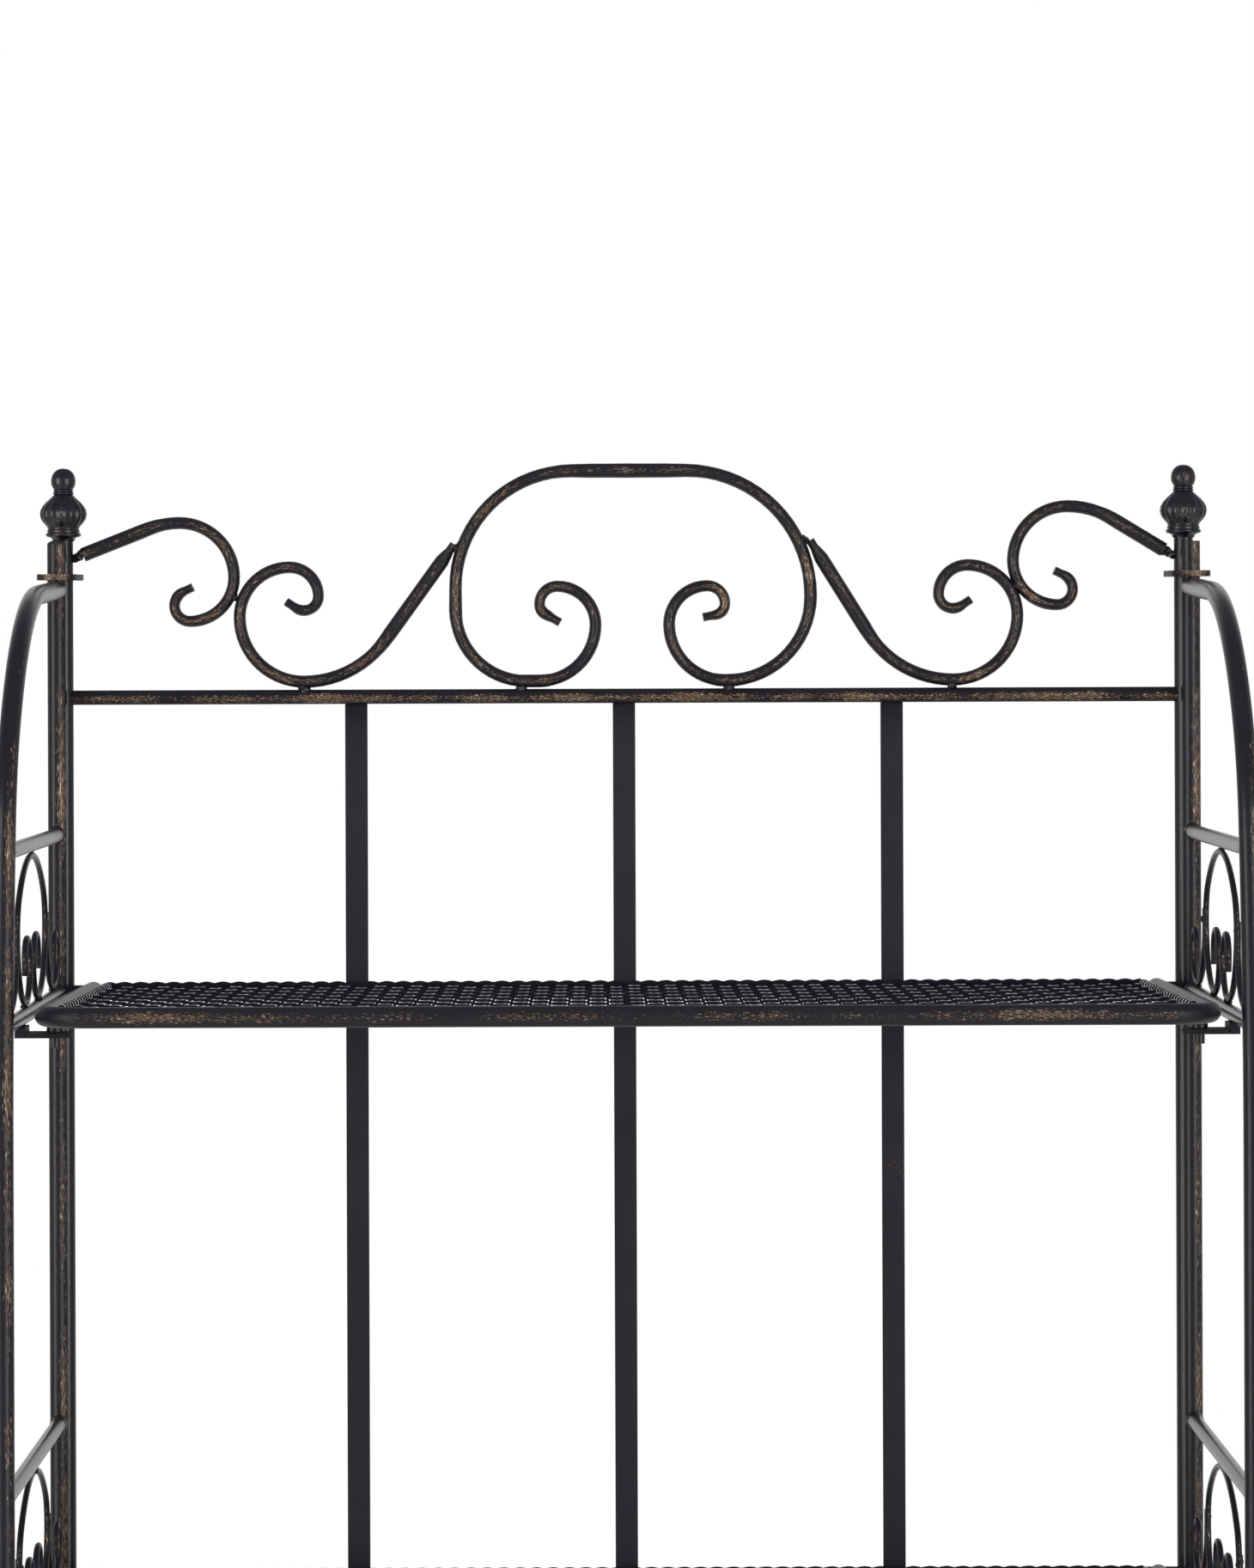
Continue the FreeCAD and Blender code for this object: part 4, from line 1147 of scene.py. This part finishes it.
class RACK_OT_stage(bpy.types.Operator):
    """Floor, lights, world and camera"""
    bl_idname = "rack.stage"
    bl_label = "Stage"

    def execute(self, context):
        studio = context.scene.rack_studio
        self.floor(studio)
        self.world(studio)
        for name, place, target, wide, tall, setting in LAMPS:
            lamp = bpy.data.lights.new(name, "AREA")
            lamp.shape, lamp.size, lamp.size_y = "RECTANGLE", wide, tall
            lamp.energy = getattr(studio, setting)
            made = bpy.data.objects.new(name, lamp)
            made.location = place
            aim = Vector(target) - Vector(place)
            made.rotation_euler = aim.to_track_quat("-Z", "Y").to_euler()
            made.visible_glossy = name != "overhead"
            context.scene.collection.objects.link(made)
        self.camera(context)
        context.scene.view_settings.view_transform = "Standard"
        return {"FINISHED"}

    @staticmethod
    def floor(studio):
        mesh = bmesh.new()
        bmesh.ops.create_grid(mesh, x_segments=1, y_segments=1, size=FLOOR_HALF)
        data = bpy.data.meshes.new("studio_floor")
        mesh.to_mesh(data)
        mesh.free()
        material, _, shader = new_material("matt studio floor")
        connect(shader, {"Base Color": shade(studio.floor), "Roughness": 0.9})
        data.materials.append(material)
        floor = bpy.data.objects.new("studio_floor", data)
        bpy.context.scene.collection.objects.link(floor)

    @staticmethod
    def world(studio):
        world = bpy.data.worlds.new("studio")
        bpy.context.scene.world = world
        world.use_nodes = True
        tree = world.node_tree
        tree.nodes.clear()
        path = add(tree, "ShaderNodeLightPath")
        # Paint and metal mirror the white backdrop, which stands behind the rack only.
        place = add(tree, "ShaderNodeTexCoord").outputs["Generated"]
        place = add(tree, "ShaderNodeSeparateXYZ", {0: place})
        backdrop = add(tree, "ShaderNodeMath", {0: place.outputs["Y"], 1: BACKDROP_FROM},
                       operation="GREATER_THAN")
        mirrored = add(tree, "ShaderNodeMath",
                       {0: path.outputs["Is Glossy Ray"], 1: backdrop},
                       operation="MULTIPLY")
        seen = add(tree, "ShaderNodeMath",
                   {0: path.outputs["Is Camera Ray"], 1: mirrored},
                   operation="MAXIMUM")
        clear = add(tree, "ShaderNodeMath",
                    {0: seen, 1: path.outputs["Is Transmission Ray"]},
                    operation="MAXIMUM")
        # Above, they mirror the studio's dark ceiling.
        ceiling = add(tree, "ShaderNodeMapRange",
                      {"Value": place.outputs["Z"], "From Min": 0.2, "From Max": 0.8,
                       "To Max": -0.7 * studio.surround})
        strength = add(tree, "ShaderNodeMath",
                       {0: path.outputs["Is Glossy Ray"], 1: ceiling,
                        2: studio.surround}, operation="MULTIPLY_ADD")
        even = add(tree, "ShaderNodeBackground",
                   {0: (1, 1, 1, 1), 1: strength})
        white = add(tree, "ShaderNodeBackground", {0: (1, 1, 1, 1), 1: 1.0})
        mix = add(tree, "ShaderNodeMixShader",
                  {0: clear, 1: even, 2: white})
        add(tree, "ShaderNodeOutputWorld", {0: mix})

    @staticmethod
    def camera(context):
        data = bpy.data.cameras.new("camera")
        data.sensor_width = SENSOR
        data.lens = SENSOR * FOCAL / FRAME_SIDE
        data.shift_x = SHIFT_RIGHT / FRAME_SIDE
        data.shift_y = SHIFT_UP / FRAME_SIDE
        data.clip_end = 60
        made = bpy.data.objects.new("camera", data)
        made.location = (CAMERA_X, POST_Y - CAMERA_BACK, TOP_Z + CAMERA_RISE)
        made.rotation_euler = (math.radians(90), math.radians(CAMERA_ROLL), 0)
        context.scene.collection.objects.link(made)
        context.scene.camera = made


# ---- add-on ----
class RACK_PT_panel(bpy.types.Panel):
    """Rack pieces and settings"""
    bl_label = "Bakers Rack"
    bl_idname = "RACK_PT_panel"
    bl_space_type = "VIEW_3D"
    bl_region_type = "UI"
    bl_category = "Rack"

    def draw(self, context):
        for setting, group in SETTINGS:
            box = self.layout.box()
            for name in group.__annotations__:
                box.prop(getattr(context.scene, setting), name)
        for operator in OPERATORS:
            self.layout.operator(operator.bl_idname)


SETTINGS = (("rack_sizes", RackSizes), ("rack_finish", RackFinish),
            ("rack_studio", RackStudio))
OPERATORS = (RACK_OT_stage, RACK_OT_posts, RACK_OT_finials, RACK_OT_rails, RACK_OT_crest,
             RACK_OT_side_frames, RACK_OT_side_scrolls, RACK_OT_tabs, RACK_OT_shelves,
             RACK_OT_feet)
CLASSES = tuple(group for _, group in SETTINGS) + OPERATORS + (RACK_PT_panel,)


def register():
    for made in CLASSES:
        bpy.utils.register_class(made)
    for name, group in SETTINGS:
        setattr(bpy.types.Scene, name, bpy.props.PointerProperty(type=group))


def unregister():
    for name, _ in SETTINGS:
        delattr(bpy.types.Scene, name)
    for made in reversed(CLASSES):
        bpy.utils.unregister_class(made)


def main():
    register()
    for operator in OPERATORS:
        category, name = operator.bl_idname.split(".")
        getattr(getattr(bpy.ops, category), name)()


if __name__ == "__main__":
    main()
